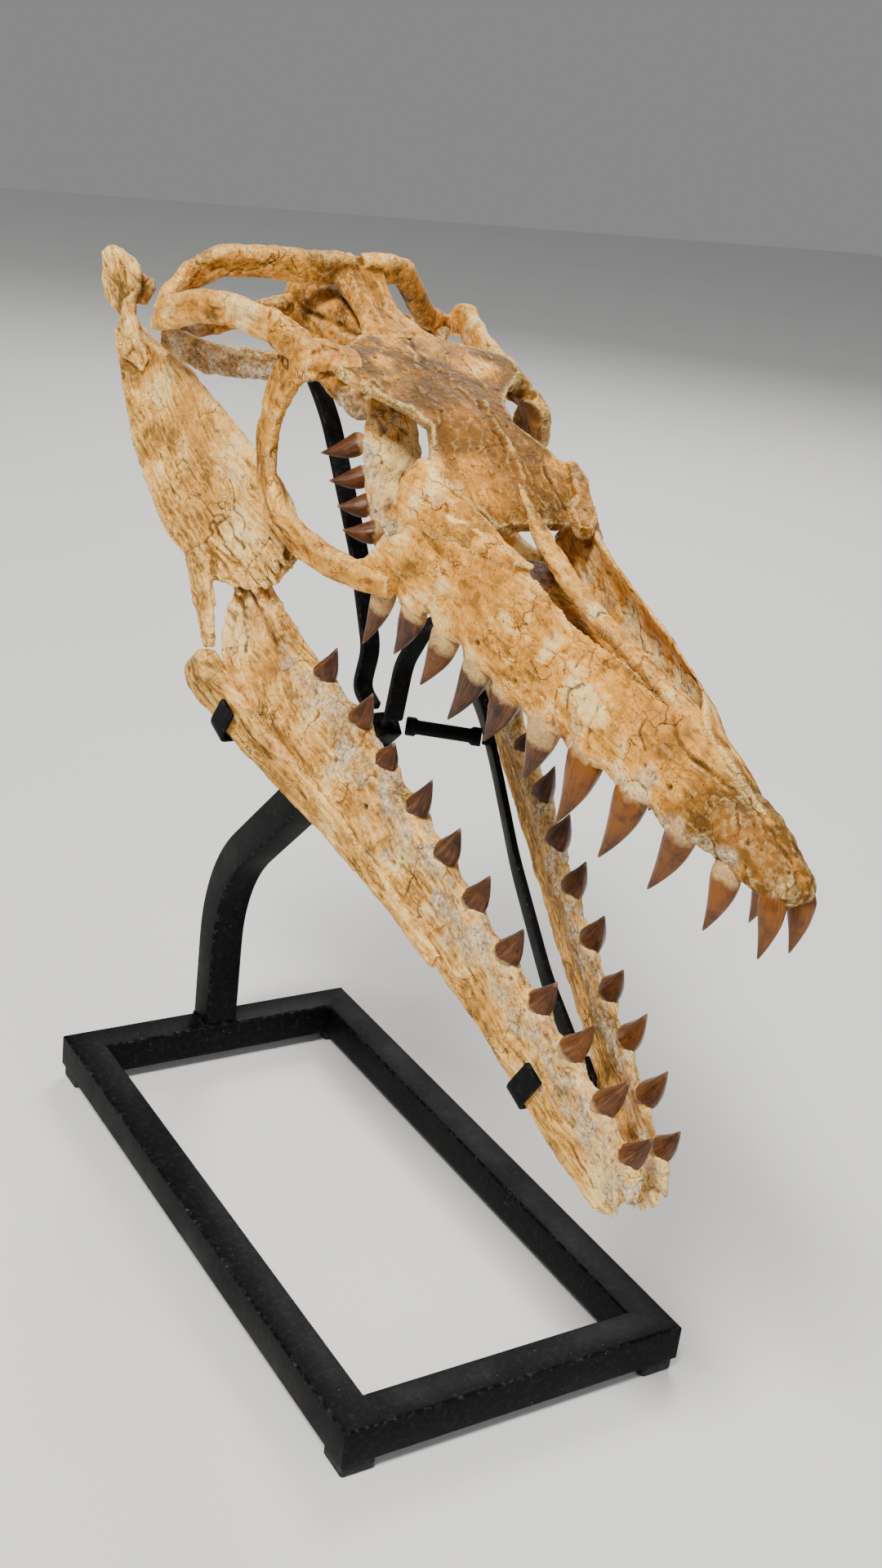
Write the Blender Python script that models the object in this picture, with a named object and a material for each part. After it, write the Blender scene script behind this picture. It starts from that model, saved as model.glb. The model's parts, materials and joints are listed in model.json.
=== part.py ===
"""Mosasaur skull with open jaws on a welded steel museum stand.

World axes: +Z up, the snout points along -Y, and +X is the animal's left side.
The origin is under the middle of the whole mount, on the floor.

Three working frames place the bones, all in millimetres:
  skull  x sideways, s back from the snout tip along the skull's long axis, n up from that axis
  jaw    a back along the tooth row of one lower jaw, h up from it, f outward flare
  rear   the same three for the hind unit of the lower jaw, which spreads wider
"""

import math

import bmesh
import bpy
import numpy as np
from mathutils import Vector

MM = 0.001
GAP = 0.0003
SEAM = 0.0007
SHARPEST = 2.0

# ---- stand, metres -------------------------------------------------------------------------
BAR = 0.025
BASE_LENGTH = 0.450
BASE_WIDTH = 0.233
FOOT_HEIGHT = 0.008
FOOT_SIZE = 0.022
BASE_TOP = FOOT_HEIGHT + BAR
MOUNT_Y = 0.0665
BASE_BACK = MOUNT_Y + BASE_LENGTH / 2
NECK_Y = BASE_BACK - BAR / 2
NECK_STRAIGHT = 0.100
NECK_RADIUS = 0.130
NECK_TURN = math.radians(46.5)
NECK_REACH = 0.205
HUB_WIDTH = 0.022
HUB_THICK = 0.016
STEM_WIDTH = 0.012
STEM_THICK = 0.005
ROD_RADIUS = 0.0045
ROD_FORWARD = 0.037
ARM_WIDTH = 0.011
ARM_THICK = 0.004
CLIP_WIDTH = 0.014
CLIP_THICK = 0.0028

# ---- skull frame ---------------------------------------------------------------------------
SKULL_PITCH = math.radians(23.0)
SNOUT_Y = MOUNT_Y - 0.3636
SNOUT_Z = 0.4103
MARGIN_START = 12.0
MARGIN_SPREAD = 0.152

# ---- lower jaw frames ----------------------------------------------------------------------
JAW_PITCH = math.radians(30.7)
JAW_Y = MOUNT_Y - 0.3055
JAW_Z = 0.2477
JAW_START = 10.8
JAW_SPREAD = 0.157
REAR_Y = MOUNT_Y + 0.085
REAR_Z = 0.4824
REAR_START = 74.0
REAR_SPREAD = 0.28
LEFT_REAR_SHIFT = (-24.0, -8.0)
LEFT_TIP_SHIFT = 4.0
LEFT_TIP_PINCH = 4.5
LEFT_TIP_REACH = 240.0

UP = (0.0, 0.0, 1.0)
SIDEWAYS = (1.0, 0.0, 0.0)
SKULL_UP = (0.0, -math.sin(SKULL_PITCH), math.cos(SKULL_PITCH))

BONE_COLOUR = (0.56, 0.38, 0.19)
JAW_COLOUR = (0.60, 0.43, 0.24)
STEEL_COLOUR = (0.012, 0.012, 0.013)
RUBBER_COLOUR = (0.02, 0.02, 0.02)

# Upper teeth: distance back from the snout tip, how low the tip hangs, width at the gum line.
PREMAXILLA_TEETH = ((4, -41.5, 11), (30, -56, 14))
MAXILLA_TEETH = (
    (62, -66.5, 16), (94, -77.5, 17), (126, -84.5, 18), (156, -83.5, 18), (188.5, -87, 17),
    (215, -97, 17), (242.5, -96.5, 16), (268.5, -97.5, 15), (292, -109, 13),
)
# Lower teeth: place along the tooth row, height of the tip, width at the gum line.
DENTARY_TEETH = (
    (-2, 0, 14), (27, 9.5, 16), (60, 10, 17), (91, 2, 17), (125, 1.5, 18), (160, 1.5, 18),
    (192, 1.5, 18), (224.5, 3, 17), (259, -7, 17), (290, -1, 17), (329, -6, 16),
)
TOOTH_FLATNESS = 0.84
TOOTH_BOW = 0.09
# Palate teeth: the tip of each tooth and the point where it leaves the pterygoid's outer edge.
PTERYGOID_TEETH = (
    ((-57, 390, -52), (-37, 384, -41)), ((-55, 376, -61), (-36, 371, -54)),
    ((-54, 362, -68), (-37, 357, -64)), ((-55, 348, -74), (-38, 340, -70)),
    ((-53, 326, -78), (-38, 319, -74)),
)


# ---- frames --------------------------------------------------------------------------------
def skull_point(x, s, n):
    """A skull-frame point in world metres."""
    along, up = s * MM, n * MM
    y = SNOUT_Y + along * math.cos(SKULL_PITCH) - up * math.sin(SKULL_PITCH)
    z = SNOUT_Z + along * math.sin(SKULL_PITCH) + up * math.cos(SKULL_PITCH)
    return Vector((x * MM, y, z))


def skull_axis():
    """The skull's long axis, pointing back."""
    return (skull_point(0, 1, 0) - skull_point(0, 0, 0)).normalized()


def jaw_frame_point(side, a, h, out, origin_y, origin_z, start, spread):
    """A point of a lower-jaw frame whose vertical plane spreads sideways toward the back."""
    run = (a * math.cos(JAW_PITCH) - h * math.sin(JAW_PITCH)) * math.cos(math.atan(spread)) * MM
    rise = (a * math.sin(JAW_PITCH) + h * math.cos(JAW_PITCH)) * MM
    x = (start + out) * MM + spread * run
    return Vector((side * x, origin_y + run, origin_z + rise))


def jaw_point(side, a, h, out=0.0):
    """A point of the front jaw unit; the left one's tip sits closer in, as the fossil was pressed."""
    if side > 0:
        out -= LEFT_TIP_SHIFT * min(max(1.0 - a / LEFT_TIP_REACH, 0.0), 0.7) / 0.7
    return jaw_frame_point(side, a, h, out, JAW_Y, JAW_Z, JAW_START, JAW_SPREAD)


def rear_point(side, a, h, out=0.0):
    """A point of the hind jaw unit; the left one sits further forward, as the fossil was pressed."""
    if side > 0:
        a, h = a + LEFT_REAR_SHIFT[0], h + LEFT_REAR_SHIFT[1]
    return jaw_frame_point(side, a, h, out, REAR_Y, REAR_Z, REAR_START, REAR_SPREAD)


# ---- scene and materials -------------------------------------------------------------------
def clear_scene():
    for obj in list(bpy.data.objects):
        bpy.data.objects.remove(obj, do_unlink=True)
    for collection in list(bpy.data.collections):
        bpy.data.collections.remove(collection)


def new_collection(name):
    collection = bpy.data.collections.new(name)
    bpy.context.scene.collection.children.link(collection)
    return collection


def material(name, colour, roughness, metallic=0.0):
    made = bpy.data.materials.new(name)
    made.use_nodes = True
    shader = made.node_tree.nodes["Principled BSDF"]
    shader.inputs["Base Color"].default_value = (*colour, 1.0)
    shader.inputs["Roughness"].default_value = roughness
    shader.inputs["Metallic"].default_value = metallic
    made.diffuse_color = (*colour, 1.0)
    return made


# ---- meshes --------------------------------------------------------------------------------
def mesh_object(name, points, faces, collection):
    """A closed mesh object with its faces turned outward."""
    mesh = bpy.data.meshes.new(name)
    mesh.from_pydata([tuple(p) for p in points], [], faces)
    work = bmesh.new()
    work.from_mesh(mesh)
    bmesh.ops.triangulate(work, faces=[f for f in work.faces if len(f.verts) > 4])
    bmesh.ops.recalc_face_normals(work, faces=work.faces)
    work.to_mesh(mesh)
    work.free()
    obj = bpy.data.objects.new(name, mesh)
    collection.objects.link(obj)
    return obj


def loft(name, rings, collection):
    """A closed skin through rings that have the same number of points."""
    rings = [list(ring) for ring in rings]
    sides = len(rings[0])
    points = [p for ring in rings for p in ring]
    faces = [tuple(reversed(range(sides)))]
    for row in range(len(rings) - 1):
        for k in range(sides):
            low, low_next = row * sides + k, row * sides + (k + 1) % sides
            faces.append((low, low_next, low_next + sides, low + sides))
    last = (len(rings) - 1) * sides
    faces.append(tuple(range(last, last + sides)))
    return mesh_object(name, points, faces, collection)


def path_frames(path, hint):
    """For each path point its centre, its sideways axis and its upright axis near the hint."""
    frames = []
    for k, centre in enumerate(path):
        before, after = path[max(k - 1, 0)], path[min(k + 1, len(path) - 1)]
        tangent = (after - before).normalized()
        side = tangent.cross(Vector(hint)).normalized()
        frames.append((centre, side, side.cross(tangent).normalized()))
    return frames


def oval(centre, side, up, width, height, sides, squareness):
    """A superellipse ring of half width and half height in the plane of two axes."""
    ring = []
    for k in range(sides):
        angle = 2.0 * math.pi * (k + 0.5) / sides
        c, s = math.cos(angle), math.sin(angle)
        across = math.copysign(abs(c) ** (2.0 / squareness), c) * width
        rise = math.copysign(abs(s) ** (2.0 / squareness), s) * height
        ring.append(centre + side * across + up * rise)
    return ring


def sweep(name, path, sizes, collection, hint=SKULL_UP, sides=8, squareness=2.4):
    """A bone shaft: ovals of (half width, half height) in millimetres carried along a path."""
    frames = path_frames(path, hint)
    rings = [
        oval(centre, side, up, width * MM, height * MM, sides, squareness)
        for (centre, side, up), (width, height) in zip(frames, sizes)
    ]
    return loft(name, rings, collection)


def skull_sweep(name, rows, collection, mirror=1, **shape):
    """A shaft from rows of (x, s, n, half width, half height) in the skull frame."""
    path = [skull_point(x * mirror, s, n) for x, s, n, _, _ in rows]
    return sweep(name, path, [(w, h) for *_, w, h in rows], collection, **shape)


def flat_bar(name, path, width, thickness, collection, hint):
    """A square-edged steel strip along a path; its width lies along the hint."""
    rings = []
    for centre, side, up in path_frames(path, hint):
        a, b = side * thickness / 2, up * width / 2
        rings.append([centre + a + b, centre - a + b, centre - a - b, centre + a - b])
    return loft(name, rings, collection)


def box(name, low, high, collection):
    bpy.ops.mesh.primitive_cube_add(size=1.0, location=(0.0, 0.0, 0.0))
    obj = bpy.context.object
    obj.name = name
    low, high = Vector(low), Vector(high)
    for vertex in obj.data.vertices:
        for axis in range(3):
            vertex.co[axis] = high[axis] if vertex.co[axis] > 0 else low[axis]
    for linked in list(obj.users_collection):
        linked.objects.unlink(obj)
    collection.objects.link(obj)
    return obj


def tooth(name, base, tip, width, collection, lean, sides=5):
    """A pointed crown with a buried root, its tip curving toward the lean direction."""
    axis = tip - base
    length = axis.length
    axis.normalize()
    lean = Vector(lean)
    lean = (lean - axis * lean.dot(axis)).normalized()
    across = axis.cross(lean)
    rings = []
    for part, girth in ((-0.22, 0.96), (0.06, 1.0), (0.55, 0.62), (1.0, 0.05)):
        bow = TOOTH_BOW * length * math.sin(math.pi * max(part, 0.0))
        centre = base + axis * length * part - lean * bow
        half = width * MM * girth / 2
        turns = [2.0 * math.pi * k / sides for k in range(sides)]
        ring = [(across * math.sin(t) * TOOTH_FLATNESS + lean * math.cos(t)) * half for t in turns]
        rings.append([centre + offset for offset in ring])
    return loft(name, rings, collection)


# ---- joining and parting -------------------------------------------------------------------
def boolean(target, other, operation):
    """Applies one exact Boolean to the target's own mesh."""
    modifier = target.modifiers.new("cut", "BOOLEAN")
    modifier.operation = operation
    modifier.object = other
    modifier.solver = "EXACT"
    graph = bpy.context.evaluated_depsgraph_get()
    made = bpy.data.meshes.new_from_object(target.evaluated_get(graph))
    target.modifiers.clear()
    old = target.data
    target.data = made
    made.name = target.name
    bpy.data.meshes.remove(old)


def join(name, pieces):
    """One bone from several overlapping shapes; the first keeps its place in the scene."""
    whole = pieces[0]
    for piece in pieces[1:]:
        boolean(whole, piece, "UNION")
        bpy.data.objects.remove(piece, do_unlink=True)
    keep_largest_body(whole)
    whole.name = name
    return whole


def keep_largest_body(obj):
    """Drops chips that a cut leaves loose, merges doubled points and turns faces outward."""
    work = bmesh.new()
    work.from_mesh(obj.data)
    bmesh.ops.remove_doubles(work, verts=work.verts, dist=0.00002)
    work.verts.ensure_lookup_table()
    unseen, bodies = set(work.verts), []
    while unseen:
        stack, body = [next(iter(unseen))], set()
        while stack:
            vertex = stack.pop()
            if vertex in body:
                continue
            body.add(vertex)
            stack.extend(edge.other_vert(vertex) for edge in vertex.link_edges)
        unseen -= body
        bodies.append(body)
    largest = max(bodies, key=len)
    bmesh.ops.delete(work, geom=[v for v in work.verts if v not in largest], context="VERTS")
    bmesh.ops.recalc_face_normals(work, faces=work.faces)
    work.to_mesh(obj.data)
    work.free()


def grown_copy(obj, margin, collection):
    """A cutter slightly larger than an object, which leaves a thin seam round it."""
    mesh = obj.data.copy()
    work = bmesh.new()
    work.from_mesh(mesh)
    work.normal_update()
    moves = [v.normal * margin * min(v.calc_shell_factor(), SHARPEST) for v in work.verts]
    for vertex, move in zip(work.verts, moves):
        vertex.co += move
    work.to_mesh(mesh)
    work.free()
    cutter = bpy.data.objects.new("cutter_" + obj.name, mesh)
    cutter.hide_render = True
    cutter.display_type = "WIRE"
    collection.objects.link(cutter)
    return cutter


def seat_against(obj, neighbours, cutters, margin=SEAM):
    """Cuts a bone back so that it meets each neighbour along a thin seam."""
    for neighbour in neighbours:
        cutter = grown_copy(neighbour, margin, cutters)
        boolean(obj, cutter, "DIFFERENCE")
        bpy.data.objects.remove(cutter, do_unlink=True)
    keep_largest_body(obj)


# ---- cranium -------------------------------------------------------------------------------
def margin_x(s):
    """Distance of the upper tooth row from the middle plane."""
    return MARGIN_START + MARGIN_SPREAD * s


def upper_tooth(s, n_tip, width, side, gum, collection):
    base = skull_point(side * (margin_x(s) - 4.5), s, gum)
    tip = skull_point(side * (margin_x(s) - 2.0), s - 1.0, n_tip)
    return tooth(f"tooth_{s}", base, tip, width, collection, skull_axis())


def gum_line(s):
    """Height of the upper jaw's lower edge in the skull frame."""
    places = (0, 7, 22, 49, 76, 110, 139, 169, 205, 241, 271, 292)
    heights = (-11, -15, -21, -25.5, -31, -37.5, -45, -52, -55, -58, -61.5, -67)
    return float(np.interp(s, places, heights))


def build_premaxilla(parts):
    """The snout tip, with two teeth on each side."""
    stations = (
        (-1.5, 6.5, -4.0, -10.5), (3, 10.0, 0.0, -15.5), (13, 13.2, 1.8, -19.5),
        (26, 16.0, 2.8, -23.5), (40, 18.3, 3.6, -26.5),
    )
    rows = [(0, s, (top + low) / 2, half, (top - low) / 2) for s, half, top, low in stations]
    snout = skull_sweep("premaxilla", rows, parts, sides=10, squareness=2.7)
    teeth = [
        upper_tooth(s, tip, width, side, gum_line(s) + 2, parts)
        for s, tip, width in PREMAXILLA_TEETH
        for side in (-1, 1)
    ]
    return join("premaxilla", [snout] + teeth)


MAXILLA_STATIONS = (
    # s, top x, top n, roof or wall thickness, width of the tooth-bearing ledge
    (40.3, 0.2, 3.6, 15, 12), (68, 0.2, 4.4, 15, 13), (96, 0.2, 7.0, 14, 14),
    (113, 10, 8.5, 8, 14), (140, 14.5, 9.0, 6.5, 14), (175, 19, 6.5, 6.5, 14),
    (210, 24, 1.5, 7, 14), (244, 31, -3.0, 8, 13), (270, 41, -6.0, 9, 12), (292, 50, -10.0, 9, 11),
)


def maxilla_ring(side, s, top_x, top_n, wall, ledge):
    """Eight corners of an upper jaw section: outer side up to the top, then down the inside."""
    low_x, low_n = margin_x(s), gum_line(s)
    height = top_n - low_n
    closed = top_x < 1.0
    shoulder_x = top_x + 0.66 * (low_x - top_x)
    shoulder_n = low_n + 0.80 * height
    inner_top_x = top_x if closed else top_x + wall * 0.35
    inner_top_n = top_n - wall
    corners = (
        (low_x - 1.0, low_n),
        (low_x + 1.2, low_n + 0.34 * height),
        (shoulder_x, shoulder_n),
        (top_x, top_n),
        (inner_top_x, inner_top_n),
        (max(shoulder_x - wall, 0.45 * low_x), min(shoulder_n - wall * 0.5, inner_top_n - 1.0)),
        (low_x - ledge, low_n + 0.30 * height),
        (low_x - ledge + 1.5, low_n + 1.5),
    )
    return [skull_point(side * x, s, n) for x, n in corners]


def build_maxilla(side, parts):
    """One upper jaw bone with its nine teeth."""
    name = "maxilla_right" if side < 0 else "maxilla_left"
    bone = loft(name, [maxilla_ring(side, *station) for station in MAXILLA_STATIONS], parts)
    teeth = [
        upper_tooth(s, tip, width, side, gum_line(s) + 2, parts) for s, tip, width in MAXILLA_TEETH
    ]
    return join(name, [bone] + teeth)


def build_nasal_bar(parts):
    """The slim bar between the nostrils."""
    rows = (
        (0, 99, 3.5, 6.5, 3.8), (0, 112, 3.4, 6.6, 4.2), (0, 145, -1.0, 6.2, 4.2),
        (0, 180, -6.2, 6.0, 4.4), (0, 220, -8.6, 6.4, 4.4), (0, 262, -6.5, 8.0, 4.6),
    )
    return skull_sweep("internarial_bar", rows, parts, squareness=2.2)


FRONTAL_STATIONS = (
    # s, half width, top height on the midline, fall of the edge, half thickness
    (262, 26, -2.5, 3, 3.6), (282, 36, 2.5, 4, 4.4), (303, 44, 6.5, 6, 4.8), (320, 38, 9, 5, 4.8),
    (334, 33, 10.5, 4, 4.6), (350, 40, 10, 4, 4.6), (372, 51, 8, 4, 4.8), (392, 61, 5.5, 3, 5.0),
    (408, 60, 3.5, 1, 5.0), (421, 42, 1.5, 1, 4.6), (431, 30, 0.5, 1, 4.2),
)


def build_frontal(parts):
    """The broad shield between the eyes, gently arched across."""
    rings = []
    steps = (-1.0, -0.72, -0.3, 0.3, 0.72, 1.0)
    for s, half, top, fall, thick in FRONTAL_STATIONS:
        upper = [(half * t, top - fall * t * t - thick * 0.5 * abs(t) ** 6) for t in steps]
        lower = [(half * t, top - 2 * thick - fall * t * t + thick * 0.5 * abs(t) ** 6) for t in steps]
        rings.append([skull_point(x, s, n) for x, n in upper + lower[::-1]])
    return loft("frontal", rings, parts)


def build_prefrontal(side, parts):
    """The bone in front of the eye, from the nostril to the orbit's front corner."""
    rows = (
        (26, 229, -4.0, 4.5, 3.0), (33, 247, -5.0, 9.5, 4.5), (37, 267, -7.0, 9.5, 5.5),
        (43.5, 287, -9.0, 9.5, 7.5), (49, 301, -10.0, 9.5, 8.5), (51, 311, -10.5, 7, 7.0),
    )
    name = "prefrontal_right" if side < 0 else "prefrontal_left"
    return skull_sweep(name, rows, parts, mirror=side, squareness=2.6)


# Each side behind the eye as rows of (x, s, n, half breadth, half thickness), x outward.
# The left side sits lower and closer in than the right, as the fossil was pressed.
POSTORBITAL_WING = {
    -1: ((46, 401, 0, 11, 4.0), (61.5, 405, 1.5, 12, 5.5), (77, 407, 1.5, 12, 6.5)),
    1: ((43, 399, -5, 11, 4.0), (56, 401, -7, 12, 5.0), (68, 402, -10.5, 12, 5.5)),
}
POSTORBITAL_BAR = {
    -1: ((74.7, 399, 3.5, 10, 5.0), (77, 411, -7, 13, 5.5), (78.5, 417, -23, 11, 5.2),
         (79.3, 417, -42, 9, 4.8)),
    1: ((65.5, 396, -10, 10, 5.0), (74, 397, -18, 12, 5.2), (78.5, 397, -30, 11, 5.0),
        (79.3, 401, -47, 9, 4.8)),
}
JUGAL = {
    -1: ((79.3, 417, -42.4, 9, 4.8), (79.3, 415, -59, 7.6, 4.5), (77.8, 405, -79, 6.8, 4.3),
         (74.7, 387, -94, 8.2, 4.4), (70, 361, -94, 8.4, 4.4), (66, 334, -85, 7.4, 4.4),
         (62, 306, -73, 6.8, 4.2), (57, 284, -63, 5.5, 3.8)),
    1: ((79.3, 401, -47.4, 9, 4.8), (79, 402, -62, 7.6, 4.5), (77.5, 396, -80, 6.8, 4.3),
        (74.7, 380, -93, 8.2, 4.4), (70, 357, -94, 8.4, 4.4), (66, 332, -85, 7.4, 4.4),
        (62, 306, -73, 6.8, 4.2), (57, 284, -63, 5.5, 3.8)),
}
ARCADE_FRONT = {
    -1: ((73, 401, 1, 6, 9), (77, 411, 3, 5.8, 10.5), (88, 430, 5, 4.6, 10.5)),
    1: ((65, 398, -13, 6, 8), (71, 409, -16.5, 5.4, 8.5), (73.5, 428, -19, 4.6, 9)),
}
ARCADE_REAR = {
    -1: ((88.1, 430.3, 5, 4.6, 10.5), (96, 455, -3, 4.6, 9.5), (103, 488, -20, 5, 9.5),
         (108.5, 512, -42, 6.5, 9.5), (109, 521, -52, 5.5, 6.5)),
    1: ((73.5, 428.4, -19, 4.6, 9), (75.5, 450, -22.5, 4.6, 9), (80, 475, -26, 5, 9.5),
        (88, 499, -29.5, 6, 9.5), (94, 512, -36, 7, 10), (94, 521, -47, 5.5, 6.5)),
}
PARIETAL_WING = {
    -1: ((4, 503, 0, 6, 9), (22, 502, 0, 6, 10), (50, 511, -3, 5, 10), (80, 520, -10, 4.6, 9.5),
         (94, 523, -22, 4.6, 9), (104, 521, -34, 4.6, 8)),
    1: ((4, 503, 0, 6, 9), (20, 503, 2, 6, 8.5), (34, 505, -1.5, 5.5, 8), (46, 509, -14, 5, 7.5),
        (57, 512, -27, 4.6, 7), (69, 516, -38, 4.6, 7), (82, 518, -43, 4.6, 7)),
}


def build_postorbital(side, parts):
    """The bone behind the eye: a medial wing, a descending bar and the front of the arcade."""
    name = "postorbitofrontal_right" if side < 0 else "postorbitofrontal_left"
    wing = skull_sweep(name, POSTORBITAL_WING[side], parts, mirror=side, squareness=2.3)
    bar = skull_sweep(
        "bar", POSTORBITAL_BAR[side], parts, mirror=side, hint=SIDEWAYS, squareness=2.3
    )
    arcade = skull_sweep("arcade", ARCADE_FRONT[side], parts, mirror=side)
    return join(name, [wing, bar, arcade])


def build_jugal(side, parts):
    """The cheek bone: down behind the orbit, round its lower corner and forward to the upper jaw."""
    name = "jugal_right" if side < 0 else "jugal_left"
    return skull_sweep(name, JUGAL[side], parts, mirror=side, hint=SIDEWAYS)


def build_squamosal(side, parts):
    """The hind part of the temporal arcade, down to the knob that carried the quadrate."""
    name = "squamosal_right" if side < 0 else "squamosal_left"
    return skull_sweep(name, ARCADE_REAR[side], parts, mirror=side)


def build_parietal(parts):
    """The narrow roof table and its two hind wings."""
    table = skull_sweep(
        "parietal",
        ((0, 431.5, -6, 28, 5.5), (0, 443, -6.5, 22, 6), (0, 458, -6.5, 15, 6.5), (0, 480, -5, 14, 6.5),
         (0, 498, -3, 17, 7.5), (0, 514, -3, 18, 7)),
        parts, squareness=3.0,
    )
    wings = [skull_sweep("wing", PARIETAL_WING[side], parts, mirror=side) for side in (-1, 1)]
    return join("parietal", [table] + wings)


def build_braincase(parts):
    """The box under the roof with its condyle, side struts and paroccipital processes."""
    pieces = [
        skull_sweep(
            "braincase",
            ((0, 444, -26, 9, 9), (0, 468, -34, 16, 18), (0, 500, -40, 22, 27), (0, 532, -44, 21, 24),
             (0, 548, -47, 13, 15), (0, 560, -49, 10, 10)),
            parts, squareness=2.6,
        )
    ]
    for side in (-1, 1):
        knob_x, knob_s, knob_n = ARCADE_REAR[side][-1][:3]
        far = (knob_x * 0.93, knob_s + 2, knob_n - 6)
        strut = (
            (10, 462, -36, 3.5, 7), (34, 468, -46, 3.2, 7), (58, 476, -51, 3.2, 7),
            (far[0] * 0.84, 500, far[2] + 3, 3.4, 6.5), (*far, 5, 6.5),
        )
        process = ((10, 530, -42, 4.5, 9), (44, 531, -50, 4.0, 8), (*far, 5, 6.5))
        pieces.append(skull_sweep("strut", strut, parts, mirror=side, sides=6))
        pieces.append(skull_sweep("process", process, parts, mirror=side, sides=6))
    return join("braincase", pieces)


def build_pterygoid(side, parts):
    """The hind palate bone that hangs inside the orbit, with five teeth on its outer edge."""
    rows = (
        (24, 392, -17, 10, 3.5), (25, 380, -24, 15, 4.5), (25.5, 367, -38, 17, 5.0),
        (26, 355, -54, 15, 5.0), (27, 341, -69, 11.5, 4.8), (31, 322, -78, 9, 4.5),
        (37, 300, -72, 8, 4.2), (43, 282, -62, 7, 4.0),
    )
    name = "pterygoid_right" if side < 0 else "pterygoid_left"
    facing = Vector((side * 0.49, -0.70, 0.52))
    bone = skull_sweep(name, rows, parts, mirror=side, hint=facing)
    teeth = [
        tooth(
            "tooth", skull_point(-side * foot[0], *foot[1:]), skull_point(-side * tip[0], *tip[1:]),
            11.5, parts, (0.0, 0.3, 1.0),
        )
        for tip, foot in PTERYGOID_TEETH
    ]
    return join(name, [bone] + teeth)


def build_palatine(side, parts):
    """The front palate strip, seen through the nostrils."""
    rows = (
        (6, 92, -22, 4, 3), (8, 130, -28, 5.5, 3), (12, 175, -35, 7, 3), (19, 225, -43, 9, 3),
        (29, 265, -50, 11, 3), (38, 292, -58, 10, 3),
    )
    name = "palatine_right" if side < 0 else "palatine_left"
    return skull_sweep(name, rows, parts, mirror=side)


# ---- lower jaw -----------------------------------------------------------------------------
DENTARY_STATIONS = (
    # a and h of the upper edge, a and h of the lower edge, flare below, width above, width below
    (-16, -25, -15, -45, 1, 7, 5), (-9, -18, -13, -57, 1, 9, 6.5), (14, -14, 16, -66, 1, 9.5, 7.5),
    (52, -15.5, 49, -66, 2, 10, 8), (100, -18.5, 99, -63.5, 4, 11, 8),
    (170, -20.5, 170, -67, 8, 13, 8), (238, -20, 236, -66, 16, 15, 9),
    (292, -22, 292, -68, 20, 16, 9), (335, -28, 332, -67, 22, 15, 8),
    (372, -30, 366, -63, 21, 13, 8), (402, -31, 398, -61, 14, 11, 8), (413, -40, 411, -54, 8, 8, 6),
)


def plate_ring(point, side, station, pinch=0.0):
    """Ten corners round a jaw section: down the outer face, drawn in by pinch, then up the inner one."""
    a_top, h_top, a_low, h_low, flare, w_top, w_low = station
    depths = (0.0, 0.16, 0.50, 0.84, 1.0)
    widths = (w_top * 0.62, w_top, (w_top + w_low) * 0.44, w_low, w_low * 0.45)
    outer, inner = [], []
    for depth, width in zip(depths, widths):
        a = a_top + (a_low - a_top) * depth
        h = h_top + (h_low - h_top) * depth
        out = flare * depth**1.2
        outer.append(point(side, a, h, out + width / 2 - pinch * width / w_top))
        inner.append(point(side, a, h, out - width / 2))
    return outer + inner[::-1]


def build_dentary(side, parts):
    """The tooth-bearing bone of the lower jaw with its eleven teeth."""
    name = "dentary_right" if side < 0 else "dentary_left"
    rings = []
    for row in DENTARY_STATIONS:
        near_tip = min(max(1.0 - row[0] / LEFT_TIP_REACH, 0.0), 1.0)
        rings.append(plate_ring(jaw_point, side, row, LEFT_TIP_PINCH * near_tip if side > 0 else 0.0))
    bone = loft(name, rings, parts)
    backward = jaw_point(side, 1, 0) - jaw_point(side, 0, 0)
    teeth = []
    for a, height, width in DENTARY_TEETH:
        gum = float(np.interp(a, [row[0] for row in DENTARY_STATIONS], [row[1] for row in DENTARY_STATIONS]))
        base, tip = jaw_point(side, a - 1, gum - 1.0), jaw_point(side, a + 1, height)
        teeth.append(tooth(f"tooth_{a}", base, tip, width, parts, backward))
    return join(name, [bone] + teeth)


def build_splenial(side, parts):
    """The strip along the lower edge of the jaw, ending in a hind knob."""
    rows = (
        (150, -62, 7, 3.5, 6), (200, -64, 11, 4.5, 8), (250, -67.5, 17, 5, 10.5),
        (295, -74, 22, 5, 12), (335, -79.5, 27, 5, 12), (362, -83, 29.5, 5.5, 11.5),
        (379, -84, 30, 7.5, 12.5), (390, -84, 30, 6, 9),
    )
    path = [jaw_point(side, a, h, out) for a, h, out, _, _ in rows]
    name = "splenial_right" if side < 0 else "splenial_left"
    return sweep(name, path, [(w, h) for *_, w, h in rows], parts, hint=UP)


REAR_STATIONS = (
    # a and h of the upper edge, a and h of the lower edge, flare below, width above, width below
    (-66, -1, -68, -19, 8, 6, 6), (-58, 10, -56, -34, 13, 8, 7), (-44, 20, -44, -42, 16, 9, 7),
    (-26, 24, -24, -50, 17, 10, 7), (5, 23.5, 6, -54.5, 17, 11, 7), (46, 21.5, 42, -47.5, 15, 11, 7),
    (88, 19.5, 72, -36, 12, 11, 8), (103, 15, 97, -23, 10, 11, 9), (122, 10, 119, -8, 8, 10, 9),
    (134, 9, 132, 2, 7, 9, 9),
)


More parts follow.
